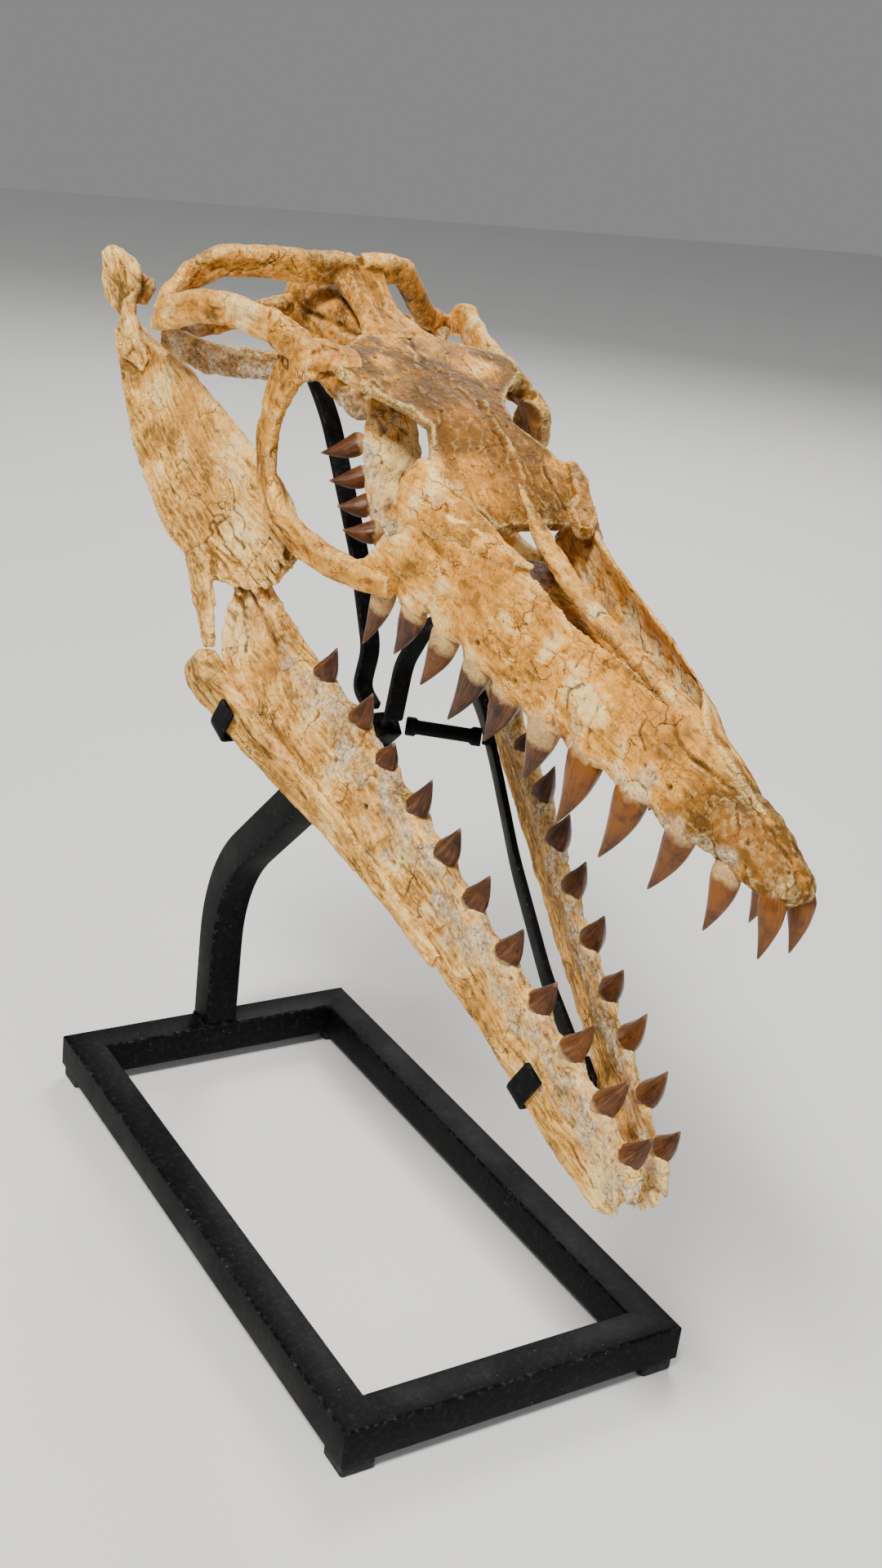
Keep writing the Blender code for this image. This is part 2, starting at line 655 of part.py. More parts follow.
def build_rear_jaw(side, parts):
    """The deep hind plate of the lower jaw, with the spur that runs forward under the joint."""
    name = "surangular_right" if side < 0 else "surangular_left"
    plate = loft(name, [plate_ring(rear_point, side, station) for station in REAR_STATIONS], parts)
    rows = (
        (-18, -48, 17, 3.5, 7), (-38, -56, 20, 3.5, 9), (-52, -65, 22, 3.2, 7.5),
        (-62, -73, 24, 2.6, 3.5),
    )
    path = [rear_point(side, a, h, out) for a, h, out, _, _ in rows]
    spur = sweep("spur", path, [(w, h) for *_, w, h in rows], parts, hint=UP)
    return join(name, [plate, spur])


def build_articular(side, parts):
    """The hind end of the jaw: the joint knob and the flag-shaped retroarticular process."""
    name = "articular_right" if side < 0 else "articular_left"
    rows = (
        (136, 2, 1, 4.2, 6.5), (147, 9.5, 0.5, 4, 12), (159.5, 14.5, 0, 4, 16.5),
        (172, 17.5, 0, 4, 15), (179, 20.5, 0, 3.5, 9),
    )
    path = [rear_point(side, a, h, out) for a, h, out, _, _ in rows]
    flag = sweep(name, path, [(w, h) for *_, w, h in rows], parts, hint=UP)
    knob_rows = ((128, 16, -2, 4, 5), (134, 24, -6, 7, 9), (142, 32, -9, 5, 6))
    knob_path = [rear_point(side, a, h, out) for a, h, out, _, _ in knob_rows]
    knob = sweep("knob", knob_path, [(w, h) for *_, w, h in knob_rows], parts, hint=UP)
    return join(name, [flag, knob])


# ---- stand ---------------------------------------------------------------------------------
def build_base(parts):
    """Four square bars mitred into a rectangle, on four rubber feet."""
    half_w, half_l = BASE_WIDTH / 2, BASE_LENGTH / 2
    corners = [(-half_w, half_l), (half_w, half_l), (half_w, -half_l), (-half_w, -half_l)]
    names = ("stand_bar_back", "stand_bar_left", "stand_bar_front", "stand_bar_right")
    made = []
    for k, name in enumerate(names):
        start, end = Vector(corners[k]), Vector(corners[(k + 1) % 4])
        along = (end - start).normalized()
        inward = Vector((along.y, -along.x))
        seam = GAP / 2 * math.sqrt(2)
        outline = [
            start + along * seam, end - along * seam,
            end - along * (BAR + seam) + inward * BAR, start + along * (BAR + seam) + inward * BAR,
        ]
        rings = [[Vector((p.x, p.y + MOUNT_Y, z)) for p in outline] for z in (FOOT_HEIGHT, BASE_TOP)]
        made.append(loft(name, rings, parts))
    inset = (BAR - FOOT_SIZE) / 2
    for k, (x, y) in enumerate(corners):
        name = ("stand_foot_back_right", "stand_foot_back_left", "stand_foot_front_left",
                "stand_foot_front_right")[k]
        cx = x - math.copysign(inset + FOOT_SIZE / 2, x)
        cy = y - math.copysign(inset + FOOT_SIZE / 2, y) + MOUNT_Y
        low = (cx - FOOT_SIZE / 2, cy - FOOT_SIZE / 2, 0.0)
        high = (cx + FOOT_SIZE / 2, cy + FOOT_SIZE / 2, FOOT_HEIGHT - GAP)
        made.append(box(name, low, high, parts))
    return made


def neck_path():
    """Middle line of the upright: straight, then an arc forward, then straight to the hub."""
    points = [Vector((0, NECK_Y, BASE_TOP + GAP)), Vector((0, NECK_Y, NECK_STRAIGHT))]
    steps = 7
    for k in range(1, steps + 1):
        turn = NECK_TURN * k / steps
        drop = NECK_RADIUS * (1 - math.cos(turn))
        points.append(Vector((0, NECK_Y - drop, NECK_STRAIGHT + NECK_RADIUS * math.sin(turn))))
    ahead = Vector((0, -math.sin(NECK_TURN), math.cos(NECK_TURN)))
    points.append(points[-1] + ahead * NECK_REACH)
    return points


def build_upright(parts):
    return flat_bar("stand_upright", neck_path(), BAR, BAR, parts, SIDEWAYS)


def hub_point():
    """Where the cross rod passes through the end of the upright."""
    ahead = Vector((0, -math.sin(NECK_TURN), math.cos(NECK_TURN)))
    return neck_path()[-1] + ahead * 0.011


def build_hub(parts):
    """The small plate welded on the end of the upright."""
    centre = hub_point()
    ahead = Vector((0, -math.sin(NECK_TURN), math.cos(NECK_TURN)))
    path = [centre - ahead * (0.011 - GAP), centre + ahead * 0.009]
    return flat_bar("stand_hub", path, HUB_WIDTH, HUB_THICK, parts, SIDEWAYS)


ARM_TRACK = (
    # a, h and outward place of the flat bar inside each lower jaw
    (352, -80, 14), (318, -67, 7), (270, -57, -3), (200, -53, -13.5), (120, -51, -18),
    (58, -50, -14.5),
)


def arm_path(side):
    return [jaw_point(side, a, h, out) for a, h, out in ARM_TRACK]


def build_arm(side, parts):
    """A flat bar along the inner face of one lower jaw."""
    name = "stand_arm_right" if side < 0 else "stand_arm_left"
    return flat_bar(name, arm_path(side), ARM_WIDTH, ARM_THICK, parts, UP)


def arm_point_at(side, y):
    """The point of the arm's middle line at a given distance back."""
    path = arm_path(side)
    for first, second in zip(path, path[1:]):
        if second.y <= y <= first.y:
            return first.lerp(second, (y - first.y) / (second.y - first.y))
    return path[0]


def build_rod(side, parts):
    """One half of the round yoke, from the hub forward and out to the arm."""
    hub = hub_point()
    start = hub + Vector((side * (HUB_WIDTH / 2 + ROD_RADIUS * 0.8), -0.008, 0.004))
    end = arm_point_at(side, hub.y - ROD_FORWARD)
    end = end - (end - start).normalized() * (ARM_THICK / 2 + 0.003)
    name = "stand_rod_right" if side < 0 else "stand_rod_left"
    size = (ROD_RADIUS / MM, ROD_RADIUS / MM)
    return sweep(name, [start, end], [size, size], parts, hint=UP, squareness=2.0)


def build_clip(side, parts, place, name):
    """A bent hook from the arm, under the lower edge of the jaw and up its outer face."""
    a, arm, inner, outer, top, low, lip = place
    drop = CLIP_THICK / MM / 2 + 0.5
    profile = (
        (arm, top), (inner - 1, top), (inner, top - 3), (inner, low + 3), (inner + 2.4, low - drop),
        (outer - 2.4, low - drop), (outer, low + 3), (outer, low + lip),
    )
    path = [jaw_point(side, a, h, out) for out, h in profile]
    along = jaw_point(side, 1, 0) - jaw_point(side, 0, 0)
    return flat_bar(name, path, CLIP_WIDTH, CLIP_THICK, parts, along)


def build_stems(parts):
    """Flat bars from the hub: forward to a saddle under the palate, and back to the braincase."""
    hub = hub_point()
    saddle_s, saddle_n, saddle_half = 268, -57.8, 30
    front = [
        hub + Vector((0.0, -0.016, 0.012)), hub + Vector((0.0, -0.022, 0.050)),
        hub + Vector((0.0, -0.042, 0.080)), skull_point(0, saddle_s + 3, saddle_n - 4),
    ]
    rear = [
        hub + Vector((0.0, 0.010, 0.011)), hub + Vector((0.0, 0.026, 0.018)),
        hub + Vector((0.0, 0.019, 0.046)), hub + Vector((0.0, 0.045, 0.098)),
        skull_point(0, 455, -105.7), skull_point(0, 467, -98.6), skull_point(0, 479, -92),
        skull_point(0, 496, -86), skull_point(0, 514, -81.5), skull_point(0, 534, -71.0),
    ]
    saddle = [skull_point(x, saddle_s, saddle_n) for x in (-saddle_half, saddle_half)]
    return [
        flat_bar("stand_stem_front", front, STEM_WIDTH, STEM_THICK, parts, SIDEWAYS),
        flat_bar("stand_stem_rear", rear, STEM_WIDTH, STEM_THICK, parts, SIDEWAYS),
        flat_bar("stand_saddle", saddle, STEM_WIDTH, ARM_THICK, parts, skull_axis()),
    ]


# ---- whole model ---------------------------------------------------------------------------
def build_cranium(parts, cutters):
    """Every skull bone, each seated against the bones that were laid before it."""
    premaxilla = build_premaxilla(parts)
    frontal = build_frontal(parts)
    prefrontals, maxillae = [], []
    for side in (-1, 1):
        prefrontal = build_prefrontal(side, parts)
        seat_against(prefrontal, [frontal], cutters)
        maxilla = build_maxilla(side, parts)
        seat_against(maxilla, [premaxilla, frontal, prefrontal], cutters)
        prefrontals.append(prefrontal)
        maxillae.append(maxilla)
    bar = build_nasal_bar(parts)
    seat_against(bar, maxillae + [frontal], cutters)
    parietal = build_parietal(parts)
    seat_against(parietal, [frontal], cutters)
    made = [premaxilla, *maxillae, bar, frontal, *prefrontals, parietal]
    braincase = build_braincase(parts)
    arches = []
    for side, maxilla in zip((-1, 1), maxillae):
        postorbital = build_postorbital(side, parts)
        seat_against(postorbital, [frontal, parietal], cutters)
        squamosal = build_squamosal(side, parts)
        seat_against(squamosal, [postorbital, parietal], cutters)
        jugal = build_jugal(side, parts)
        seat_against(jugal, [postorbital, maxilla], cutters)
        palatine = build_palatine(side, parts)
        seat_against(palatine, [maxilla], cutters)
        pterygoid = build_pterygoid(side, parts)
        seat_against(pterygoid, [maxilla, palatine, jugal], cutters)
        arches += [postorbital, squamosal, jugal, palatine, pterygoid]
    seat_against(braincase, [parietal] + [a for a in arches if a.name.startswith("squamosal")], cutters)
    return made + [braincase] + arches


def build_jaws(parts, cutters):
    made = []
    for side in (-1, 1):
        dentary = build_dentary(side, parts)
        splenial = build_splenial(side, parts)
        seat_against(splenial, [dentary], cutters)
        rear = build_rear_jaw(side, parts)
        seat_against(rear, [dentary, splenial], cutters)
        articular = build_articular(side, parts)
        seat_against(articular, [rear], cutters)
        made += [dentary, splenial, rear, articular]
    return made


CLIPS = {
    # place along the jaw; outward place of the arm, inner leg and outer leg; heights of the
    # foot on the arm and of the bone's lower edge; height of the outer lip
    "rear": (345, 17.0, 20.5, 36.5, -76, -93.5, 22),
    "front": (64, -11.6, -7.0, 8.0, -50, -65.5, 25),
}


def build_stand(parts):
    made = build_base(parts)
    made += [build_upright(parts), build_hub(parts)]
    for side, word in ((-1, "right"), (1, "left")):
        arm = build_arm(side, parts)
        rod = build_rod(side, parts)
        clips = [
            build_clip(side, parts, place, f"stand_clip_{end}_{word}") for end, place in CLIPS.items()
        ]
        made += [arm, rod] + clips
    made += build_stems(parts)
    return made


def main():
    clear_scene()
    parts = new_collection("mosasaur_skull_mount")
    cutters = new_collection("cutters")
    cutters.hide_render = True
    bones = build_cranium(parts, cutters)
    jaws = build_jaws(parts, cutters)
    stand = build_stand(parts)
    feet = [obj for obj in stand if obj.name.startswith("stand_foot")]
    steel = [obj for obj in stand if obj not in feet]
    finishes = (
        (bones, material("fossil_bone", BONE_COLOUR, 0.62)),
        (jaws, material("fossil_jaw_bone", JAW_COLOUR, 0.66)),
        (steel, material("black_steel", STEEL_COLOUR, 0.42, 0.6)),
        (feet, material("black_rubber", RUBBER_COLOUR, 0.85)),
    )
    for group, finish in finishes:
        for obj in group:
            obj.data.materials.clear()
            obj.data.materials.append(finish)


main()
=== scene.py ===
import json
import math
from functools import partial

import bpy
import numpy as np
from bpy.props import FloatProperty, FloatVectorProperty, PointerProperty
from bpy.types import Operator, Panel, PropertyGroup
from mathutils import Matrix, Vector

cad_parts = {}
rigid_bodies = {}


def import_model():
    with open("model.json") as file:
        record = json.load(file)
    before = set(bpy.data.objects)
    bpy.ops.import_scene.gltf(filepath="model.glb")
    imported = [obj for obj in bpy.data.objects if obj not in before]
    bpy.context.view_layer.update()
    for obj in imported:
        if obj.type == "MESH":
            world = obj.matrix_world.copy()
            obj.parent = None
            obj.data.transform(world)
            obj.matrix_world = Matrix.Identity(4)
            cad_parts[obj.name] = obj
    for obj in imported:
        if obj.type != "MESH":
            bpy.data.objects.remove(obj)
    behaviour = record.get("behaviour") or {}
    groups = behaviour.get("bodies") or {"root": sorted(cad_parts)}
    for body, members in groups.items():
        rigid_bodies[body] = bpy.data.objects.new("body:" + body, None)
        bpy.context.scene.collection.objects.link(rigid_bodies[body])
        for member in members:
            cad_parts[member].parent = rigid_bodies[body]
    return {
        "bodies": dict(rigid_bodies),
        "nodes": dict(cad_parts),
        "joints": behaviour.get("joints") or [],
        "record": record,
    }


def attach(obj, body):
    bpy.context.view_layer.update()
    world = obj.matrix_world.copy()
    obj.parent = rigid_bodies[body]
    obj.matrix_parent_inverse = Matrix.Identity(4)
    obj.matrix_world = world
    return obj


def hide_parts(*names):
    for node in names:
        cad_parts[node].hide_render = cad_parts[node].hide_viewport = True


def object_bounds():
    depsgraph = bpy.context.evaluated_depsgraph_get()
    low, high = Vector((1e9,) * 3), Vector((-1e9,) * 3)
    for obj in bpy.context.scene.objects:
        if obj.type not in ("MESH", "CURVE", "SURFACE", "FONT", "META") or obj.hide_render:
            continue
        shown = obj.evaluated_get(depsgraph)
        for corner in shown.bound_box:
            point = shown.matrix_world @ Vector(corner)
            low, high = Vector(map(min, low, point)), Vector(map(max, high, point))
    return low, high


bl_info = {
    "name": "Mosasaur Skull Mount",
    "version": (1, 0, 0),
    "blender": (4, 5, 0),
    "location": "View3D > Sidebar > Skull Mount",
    "description": "Builds a mosasaur skull with open jaws on its steel museum stand",
    "category": "Add Mesh",
}

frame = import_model()
CAD_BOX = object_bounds()
BOX_LOW, BOX_HIGH = (np.array(corner) for corner in CAD_BOX)

MM = 0.001
FAR = 1e9

# ---- the frames that the bones are measured in -----------------------------------------------
MOUNT_Y = 0.0665
SKULL_PITCH = math.radians(23.0)
SNOUT = (MOUNT_Y - 0.3636, 0.4103)
MARGIN_START, MARGIN_SPREAD = 12.0, 0.152
JAW_PITCH = math.radians(30.7)
FRONT_JAW = (MOUNT_Y - 0.3055, 0.2477, 10.8, 0.157)
REAR_JAW = (MOUNT_Y + 0.085, 0.4824, 74.0, 0.28)
LEFT_REAR_SHIFT = (-24.0, -8.0)
LEFT_TIP_SHIFT, LEFT_TIP_PINCH, LEFT_TIP_REACH = 4.0, 4.5, 240.0
SIDES = {-1: "right", 1: "left"}
UP = (0.0, 0.0, 1.0)
SIDEWAYS = (1.0, 0.0, 0.0)
SKULL_UP = (0.0, -math.sin(SKULL_PITCH), math.cos(SKULL_PITCH))
SKULL_BACK = (0.0, math.cos(SKULL_PITCH), math.sin(SKULL_PITCH))


def skull(points):
    """Millimetres (x, back along the skull, up from its axis) turned by the skull's pitch into the
    world."""
    x, s, n = np.moveaxis(np.asarray(points, float), -1, 0) * MM
    y = SNOUT[0] + s * math.cos(SKULL_PITCH) - n * math.sin(SKULL_PITCH)
    z = SNOUT[1] + s * math.sin(SKULL_PITCH) + n * math.cos(SKULL_PITCH)
    return np.stack([x, y, z], -1)


def skull_half(side, points):
    """A skull place whose x is counted outward on a side."""
    return skull(np.asarray(points, float) * (side, 1, 1))


def jaw_place(side, points, place):
    """Millimetres (along, up, out) of a jaw plane: turned by the jaw's pitch, spreading outward as it
    runs back."""
    a, h, out = np.moveaxis(np.asarray(points, float), -1, 0)
    y0, z0, start, spread = place
    run = (a * math.cos(JAW_PITCH) - h * math.sin(JAW_PITCH)) * math.cos(math.atan(spread)) * MM
    rise = (a * math.sin(JAW_PITCH) + h * math.cos(JAW_PITCH)) * MM
    return np.stack([side * ((start + out) * MM + spread * run), y0 + run, z0 + rise], -1)


def jaw(side, points):
    """A front jaw place; the left tip is drawn in by a ramp along the jaw."""
    points = np.array(points, float)
    if side > 0:
        ramp = np.clip(1.0 - points[..., 0] / LEFT_TIP_REACH, 0.0, 0.7) / 0.7
        points[..., 2] -= LEFT_TIP_SHIFT * ramp
    return jaw_place(side, points, FRONT_JAW)


def rear(side, points):
    """A hind jaw place; the left one is shifted forward and down."""
    points = np.array(points, float)
    if side > 0:
        points[..., :2] += LEFT_REAR_SHIFT
    return jaw_place(side, points, REAR_JAW)


# ---- noise -----------------------------------------------------------------------------------
OCTAVE_SEED, CLOUD_GAIN = 17, 1.6


def lattice(x, y, z, seed):
    """Numbers from -1 to 1 hashed from whole cell numbers."""
    n = x * np.uint32(374761393) + y * np.uint32(668265263) + z * np.uint32(2246822519)
    n = n + np.uint32((seed * 2654435761) & 0xFFFFFFFF)
    n = (n ^ (n >> np.uint32(15))) * np.uint32(2246822519)
    n = (n ^ (n >> np.uint32(13))) * np.uint32(3266489917)
    return (n ^ (n >> np.uint32(16))).astype(np.float32) / np.float32(2147483648.0) - np.float32(1.0)


def noise(points, size, seed):
    """Hashed cell corners joined by the curve 3t^2 - 2t^3 along each direction; size is a cell's length."""
    q = (np.asarray(points) / size).astype(np.float32)
    cell = np.floor(q)
    t = q - cell
    w = t * t * (3 - 2 * t)
    x, y, z = (cell[..., k].astype(np.int64).astype(np.uint32) for k in range(3))
    one = np.uint32(1)
    total = np.zeros(len(q), np.float32)
    for i in (0, 1):
        wx = w[:, 0] if i else 1 - w[:, 0]
        for j in (0, 1):
            wy = w[:, 1] if j else 1 - w[:, 1]
            for k in (0, 1):
                wz = w[:, 2] if k else 1 - w[:, 2]
                total += wx * wy * wz * lattice(x + one * i, y + one * j, z + one * k, seed)
    return total


def cloud(points, size, octaves, seed):
    """Noise summed over octaves, each half the size and half the height of the last."""
    total, reach = 0.0, 0.0
    for k in range(octaves):
        total = total + noise(points, size / 2**k, seed + OCTAVE_SEED * k) / 2**k
        reach += 1 / 2**k
    return total / reach * CLOUD_GAIN


def soft_step(value, low, high):
    t = np.clip((value - low) / (high - low), 0.0, 1.0)
    return t * t * (3 - 2 * t)


# ---- surfaces --------------------------------------------------------------------------------
FIRMNESS, THINNEST = 0.72, 0.8


def unit(vectors):
    """Vectors drawn to length one."""
    return vectors / np.linalg.norm(vectors, axis=-1, keepdims=True)


def circle(count, start=0.0):
    """Even angles round a circle, the first a share of a step on."""
    return 2 * np.pi * (np.arange(count) + start) / count


def swept(path, side, up, across, rise):
    """Rings carried along a path: the offsets of each ring's points along the side and up directions
    there, added to the path's point."""
    return path[:, None] + side[:, None] * across[..., None] + up[:, None] * rise[..., None]


def through(rows, count, closed=False, firm=0.0):
    """Rows along a smooth curve through the given rows: cubic spans whose end slopes are the
    neighbouring spans' slopes, each weighted by the other's length, mixed with straight spans
    by the share firm."""
    rows = np.asarray(rows, float)
    flat = rows.reshape(len(rows), -1)
    if closed:
        flat = np.concatenate([flat[-2:], flat, flat[:3]])
    gaps = np.maximum(np.sqrt(((flat[1:] - flat[:-1]) ** 2).sum(1)), 1e-9)
    knots = np.concatenate([[0.0], np.cumsum(gaps)])
    steps = (flat[1:] - flat[:-1]) / gaps[:, None]
    before, after = gaps[:-1, None], gaps[1:, None]
    middle = (steps[:-1] * after + steps[1:] * before) / (before + after)
    slopes = np.concatenate([steps[:1], middle, steps[-1:]])
    low, high = (knots[2], knots[-3]) if closed else (knots[0], knots[-1])
    if closed:
        high = knots[2 + len(rows)]
    at = np.linspace(low, high, count, endpoint=not closed)
    i = np.clip(np.searchsorted(knots, at, "right") - 1, 0, len(knots) - 2)
    h = gaps[i][:, None]
    t = ((at - knots[i])[:, None]) / h
    made = (
        (2 * t**3 - 3 * t**2 + 1) * flat[i] + (t**3 - 2 * t**2 + t) * h * slopes[i]
        + (3 * t**2 - 2 * t**3) * flat[i + 1] + (t**3 - t**2) * h * slopes[i + 1]
    )
    made += firm * ((1 - t) * flat[i] + t * flat[i + 1] - made)
    return made.reshape(count, *rows.shape[1:])


def tube(rings):
    """Points, quads and triangles of a skin through rings of points, each end closed by a fan to its
    middle."""
    rings = np.asarray(rings, float)
    count, around, _ = rings.shape
    points = np.concatenate([rings.reshape(-1, 3), rings[:1].mean(1), rings[-1:].mean(1)])
    i = np.arange(count - 1)[:, None] * around
    j, k = np.arange(around)[None], (np.arange(around)[None] + 1) % around
    quads = np.stack([i + j, i + k, i + k + around, i + j + around], -1).reshape(-1, 4)
    last = (count - 1) * around
    j, k = j[0], k[0]
    first_fan = np.stack([k, j, np.full(around, count * around)], -1)
    last_fan = np.stack([last + j, last + k, np.full(around, count * around + 1)], -1)
    return points, quads, np.concatenate([first_fan, last_fan])


def ring_loop(rings):
    """A skin through rings that close on themselves, without ends."""
    rings = np.asarray(rings, float)
    count, around, _ = rings.shape
    i = np.arange(count)[:, None] * around
    up = (i + around) % (count * around)
    j, k = np.arange(around)[None], (np.arange(around)[None] + 1) % around
    quads = np.stack([i + j, i + k, up + k, up + j], -1).reshape(-1, 4)
    return rings.reshape(-1, 3), quads, np.zeros((0, 3), int)


def put_together(shells):
    """Several skins as one list of points and faces."""
    points, quads, triangles, start = [], [], [], 0
    for p, q, t in shells:
        points.append(p)
        quads.append(q + start)
        triangles.append(t + start)
        start += len(p)
    return np.concatenate(points), np.concatenate(quads), np.concatenate(triangles)


def outward(shell):
    """Turns a closed skin's faces if its signed volume, the sum of its faces' tetrahedra, is below
    zero."""
    p, q, t = shell
    faces = np.concatenate([q[:, [0, 1, 2]], q[:, [0, 2, 3]], t])
    volume = (p[faces[:, 0]] * np.cross(p[faces[:, 1]], p[faces[:, 2]])).sum()
    return (p, q[:, ::-1], t[:, ::-1]) if volume < 0 else shell


def new_mesh(name, shell):
    points, quads, triangles = shell
    mesh = bpy.data.meshes.new(name)
    mesh.vertices.add(len(points))
    mesh.vertices.foreach_set("co", points.astype(np.float32).ravel())
    corners = np.concatenate([quads.ravel(), triangles.ravel()]).astype(np.int32)
    totals = np.concatenate([np.full(len(quads), 4), np.full(len(triangles), 3)]).astype(np.int32)
    starts = np.concatenate([[0], np.cumsum(totals)[:-1]]).astype(np.int32)
    mesh.loops.add(len(corners))
    mesh.loops.foreach_set("vertex_index", corners)
    mesh.polygons.add(len(totals))
    mesh.polygons.foreach_set("loop_start", starts)
    mesh.polygons.foreach_set("loop_total", totals)
    mesh.update(calc_edges=True)
    mesh.validate()
    return mesh


def new_object(name, mesh):
    obj = bpy.data.objects.new(name, mesh)
    bpy.context.scene.collection.objects.link(obj)
    return obj


def mark_points(mesh, name, values):
    """Stores one number, or three, for each point of a mesh."""
    values = np.asarray(values, np.float32)
    kind, key = ("FLOAT", "value") if values.ndim == 1 else ("FLOAT_VECTOR", "vector")
    mesh.attributes.new(name, kind, "POINT").data.foreach_set(key, values.ravel())


def piece(name, mesh, nodes, finish, marks):
    """A finished mesh as a visible piece: its marks, smooth faces and material, and the CAD nodes that
    it stands for."""
    for key, values in marks.items():
        mark_points(mesh, key, values)
    mesh.polygons.foreach_set("use_smooth", np.ones(len(mesh.polygons), bool))
    mesh.materials.append(finish_of(finish))
    mesh.update()
    obj = new_object(name, mesh)
    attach(obj, "root")
    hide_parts(*nodes)


def path_frames(path, hint):
    """At each path point the sideways and upright directions, square to the path and near the hint."""
    ahead = unit(np.gradient(np.asarray(path, float), axis=0))
    side = unit(np.cross(ahead, np.asarray(hint, float)))
    return side, np.cross(side, ahead)


def bone_shaft(rows, side=1, frame=skull_half, hint=None, squareness=3.4, step=2.0, around=48):
    """A superellipse, |u/w|^q + |v/h|^q = 1, carried along a smooth path, its half sizes changing
    smoothly; the rows are (place in the bone's frame, half width, half height)."""
    rows = np.array(rows, float)
    path = frame(side, rows[:, :3])
    length = np.linalg.norm(path[1:] - path[:-1], axis=1).sum() / MM
    rows = through(np.concatenate([path / MM, rows[:, 3:]], 1), max(int(length / step), 6), firm=FIRMNESS)
    centres, sizes = rows[:, :3] * MM, np.maximum(rows[:, 3:], THINNEST) * MM
    hint = hint or (SKULL_UP if frame is skull_half else UP)
    turn = circle(around, 0.5)
    u, v = (np.sign(wave) * np.abs(wave) ** (2 / squareness) for wave in (np.cos(turn), np.sin(turn)))
    return tube(swept(centres, *path_frames(centres, hint), u * sizes[:, :1], v * sizes[:, 1:]))


def skin(rings, along, around=72):
    """Control rings joined smoothly along the bone and round it."""
    rings = through(np.asarray(rings, float), along)
    rings = through(np.swapaxes(rings, 0, 1), around, closed=True)
    return tube(np.swapaxes(rings, 0, 1))


# ---- relief of a bone's skin -----------------------------------------------------------------
JAW_FRAMES = (jaw, rear)
SOFTENING_TURNS, RELIEF_TURNS, HOLLOW_TURNS = 3, 6, 45
# height in mm and cell length in m of the lumps, the roughness, the fibres and the grit of chalky rock
LUMPS, ROUGHNESS, FIBRES, GRIT = (0.55, 0.022), (0.42, 0.0075), (0.34, 0.0026), (0.55, 0.0028)
# cell length in m, the noise level from which a flake is gone, and its depth in mm
FLAKES = ((0.016, 0.08, 0.48), (0.008, 0.25, 0.36))
FIBRE_STRETCH = 7.0
GRAIN_BEND, CRACK_WANDER, HOLLOW_DEPTH = 3.5 * MM, 1.5 * MM, 1.6 * MM
VEIN_WIDTH, VEIN_DARKNESS, SHALLOWEST_DARKNESS, DARKNESS_PER_MM = 0.028, 0.8, 0.35, 0.6


def line_distance(points, line):
    """Distance from each point to the nearest place of a polyline."""
    best = np.full(len(points), FAR)
    for a, b in zip(line[:-1], line[1:]):
        d = b - a
        t = np.clip(((points - a) @ d) / max(d @ d, 1e-12), 0, 1)
        best = np.minimum(best, np.linalg.norm(points - a - t[:, None] * d, axis=1))
    return best


def grain_places(points, spine):
    """For fibres: how far along the spine each point lies, and its offset across it."""
    lengths = np.concatenate([[0.0], np.cumsum(np.linalg.norm(spine[1:] - spine[:-1], axis=1))])
    best = np.full(len(points), FAR)
    along = np.zeros(len(points))
    foot = np.zeros_like(points)
    for a, b, start in zip(spine[:-1], spine[1:], lengths):
        d = b - a
        t = np.clip(((points - a) @ d) / (d @ d), 0, 1)
        place = a + t[:, None] * d
        gap = np.linalg.norm(points - place, axis=1)
        near = gap < best
        best[near], along[near], foot[near] = gap[near], (start + t * np.linalg.norm(d))[near], place[near]
    past = np.clip(-((points - spine[0]) @ unit(spine[-1] - spine[0])), 0, None) * (along <= 0)
    off = points - foot
    ahead = np.gradient(spine, axis=0)[len(spine) // 2]
    side = unit(np.cross(ahead, (0.31, 0.12, 0.94)))
    return np.stack([along - past, off @ side, off @ unit(np.cross(side, ahead))], -1)


def relaxed(points, edges, turns):
    """Points moved a number of times to the mean of their neighbours."""
    a, b = edges[:, 0], edges[:, 1]
    count = len(points)
    degree = np.maximum(np.bincount(a, minlength=count) + np.bincount(b, minlength=count), 1)
    for _ in range(turns):
        sums = [np.bincount(a, points[b, k], count) + np.bincount(b, points[a, k], count) for k in range(3)]
        points = np.stack(sums, 1) / degree[:, None]
    return points


def mesh_arrays(mesh):
    """A mesh's points and normals, and the two points of each of its edges."""
    points, normals = np.zeros((2, len(mesh.vertices) * 3), np.float32)
    edges = np.zeros(len(mesh.edges) * 2, np.int32)
    mesh.vertices.foreach_get("co", points)
    mesh.vertices.foreach_get("normal", normals)
    mesh.edges.foreach_get("vertices", edges)
    return points.reshape(-1, 3).astype(float), normals.reshape(-1, 3).astype(float), edges.reshape(-1, 2)


def melted(name, shells, step):
    """Overlapping closed skins melted into one even skin of small squares."""
    raw = new_object(name + ".raw", new_mesh(name + ".raw", put_together([outward(s) for s in shells])))
    remesh = raw.modifiers.new("even", "REMESH")
    remesh.mode, remesh.voxel_size = "VOXEL", step
    smooth = raw.modifiers.new("soften", "SMOOTH")
    smooth.factor, smooth.iterations = 0.5, SOFTENING_TURNS
    mesh = bpy.data.meshes.new_from_object(raw.evaluated_get(bpy.context.evaluated_depsgraph_get()))
    mesh.name = name
    old = raw.data
    bpy.data.objects.remove(raw)
    bpy.data.meshes.remove(old)
    return mesh


def nearness(points, spot, reach, power=2):
    """1 at a spot, falling off as exp(-(distance / reach)^power), the reach in mm."""
    return np.exp(-((np.linalg.norm(points - spot, axis=1) / (reach * MM)) ** power))


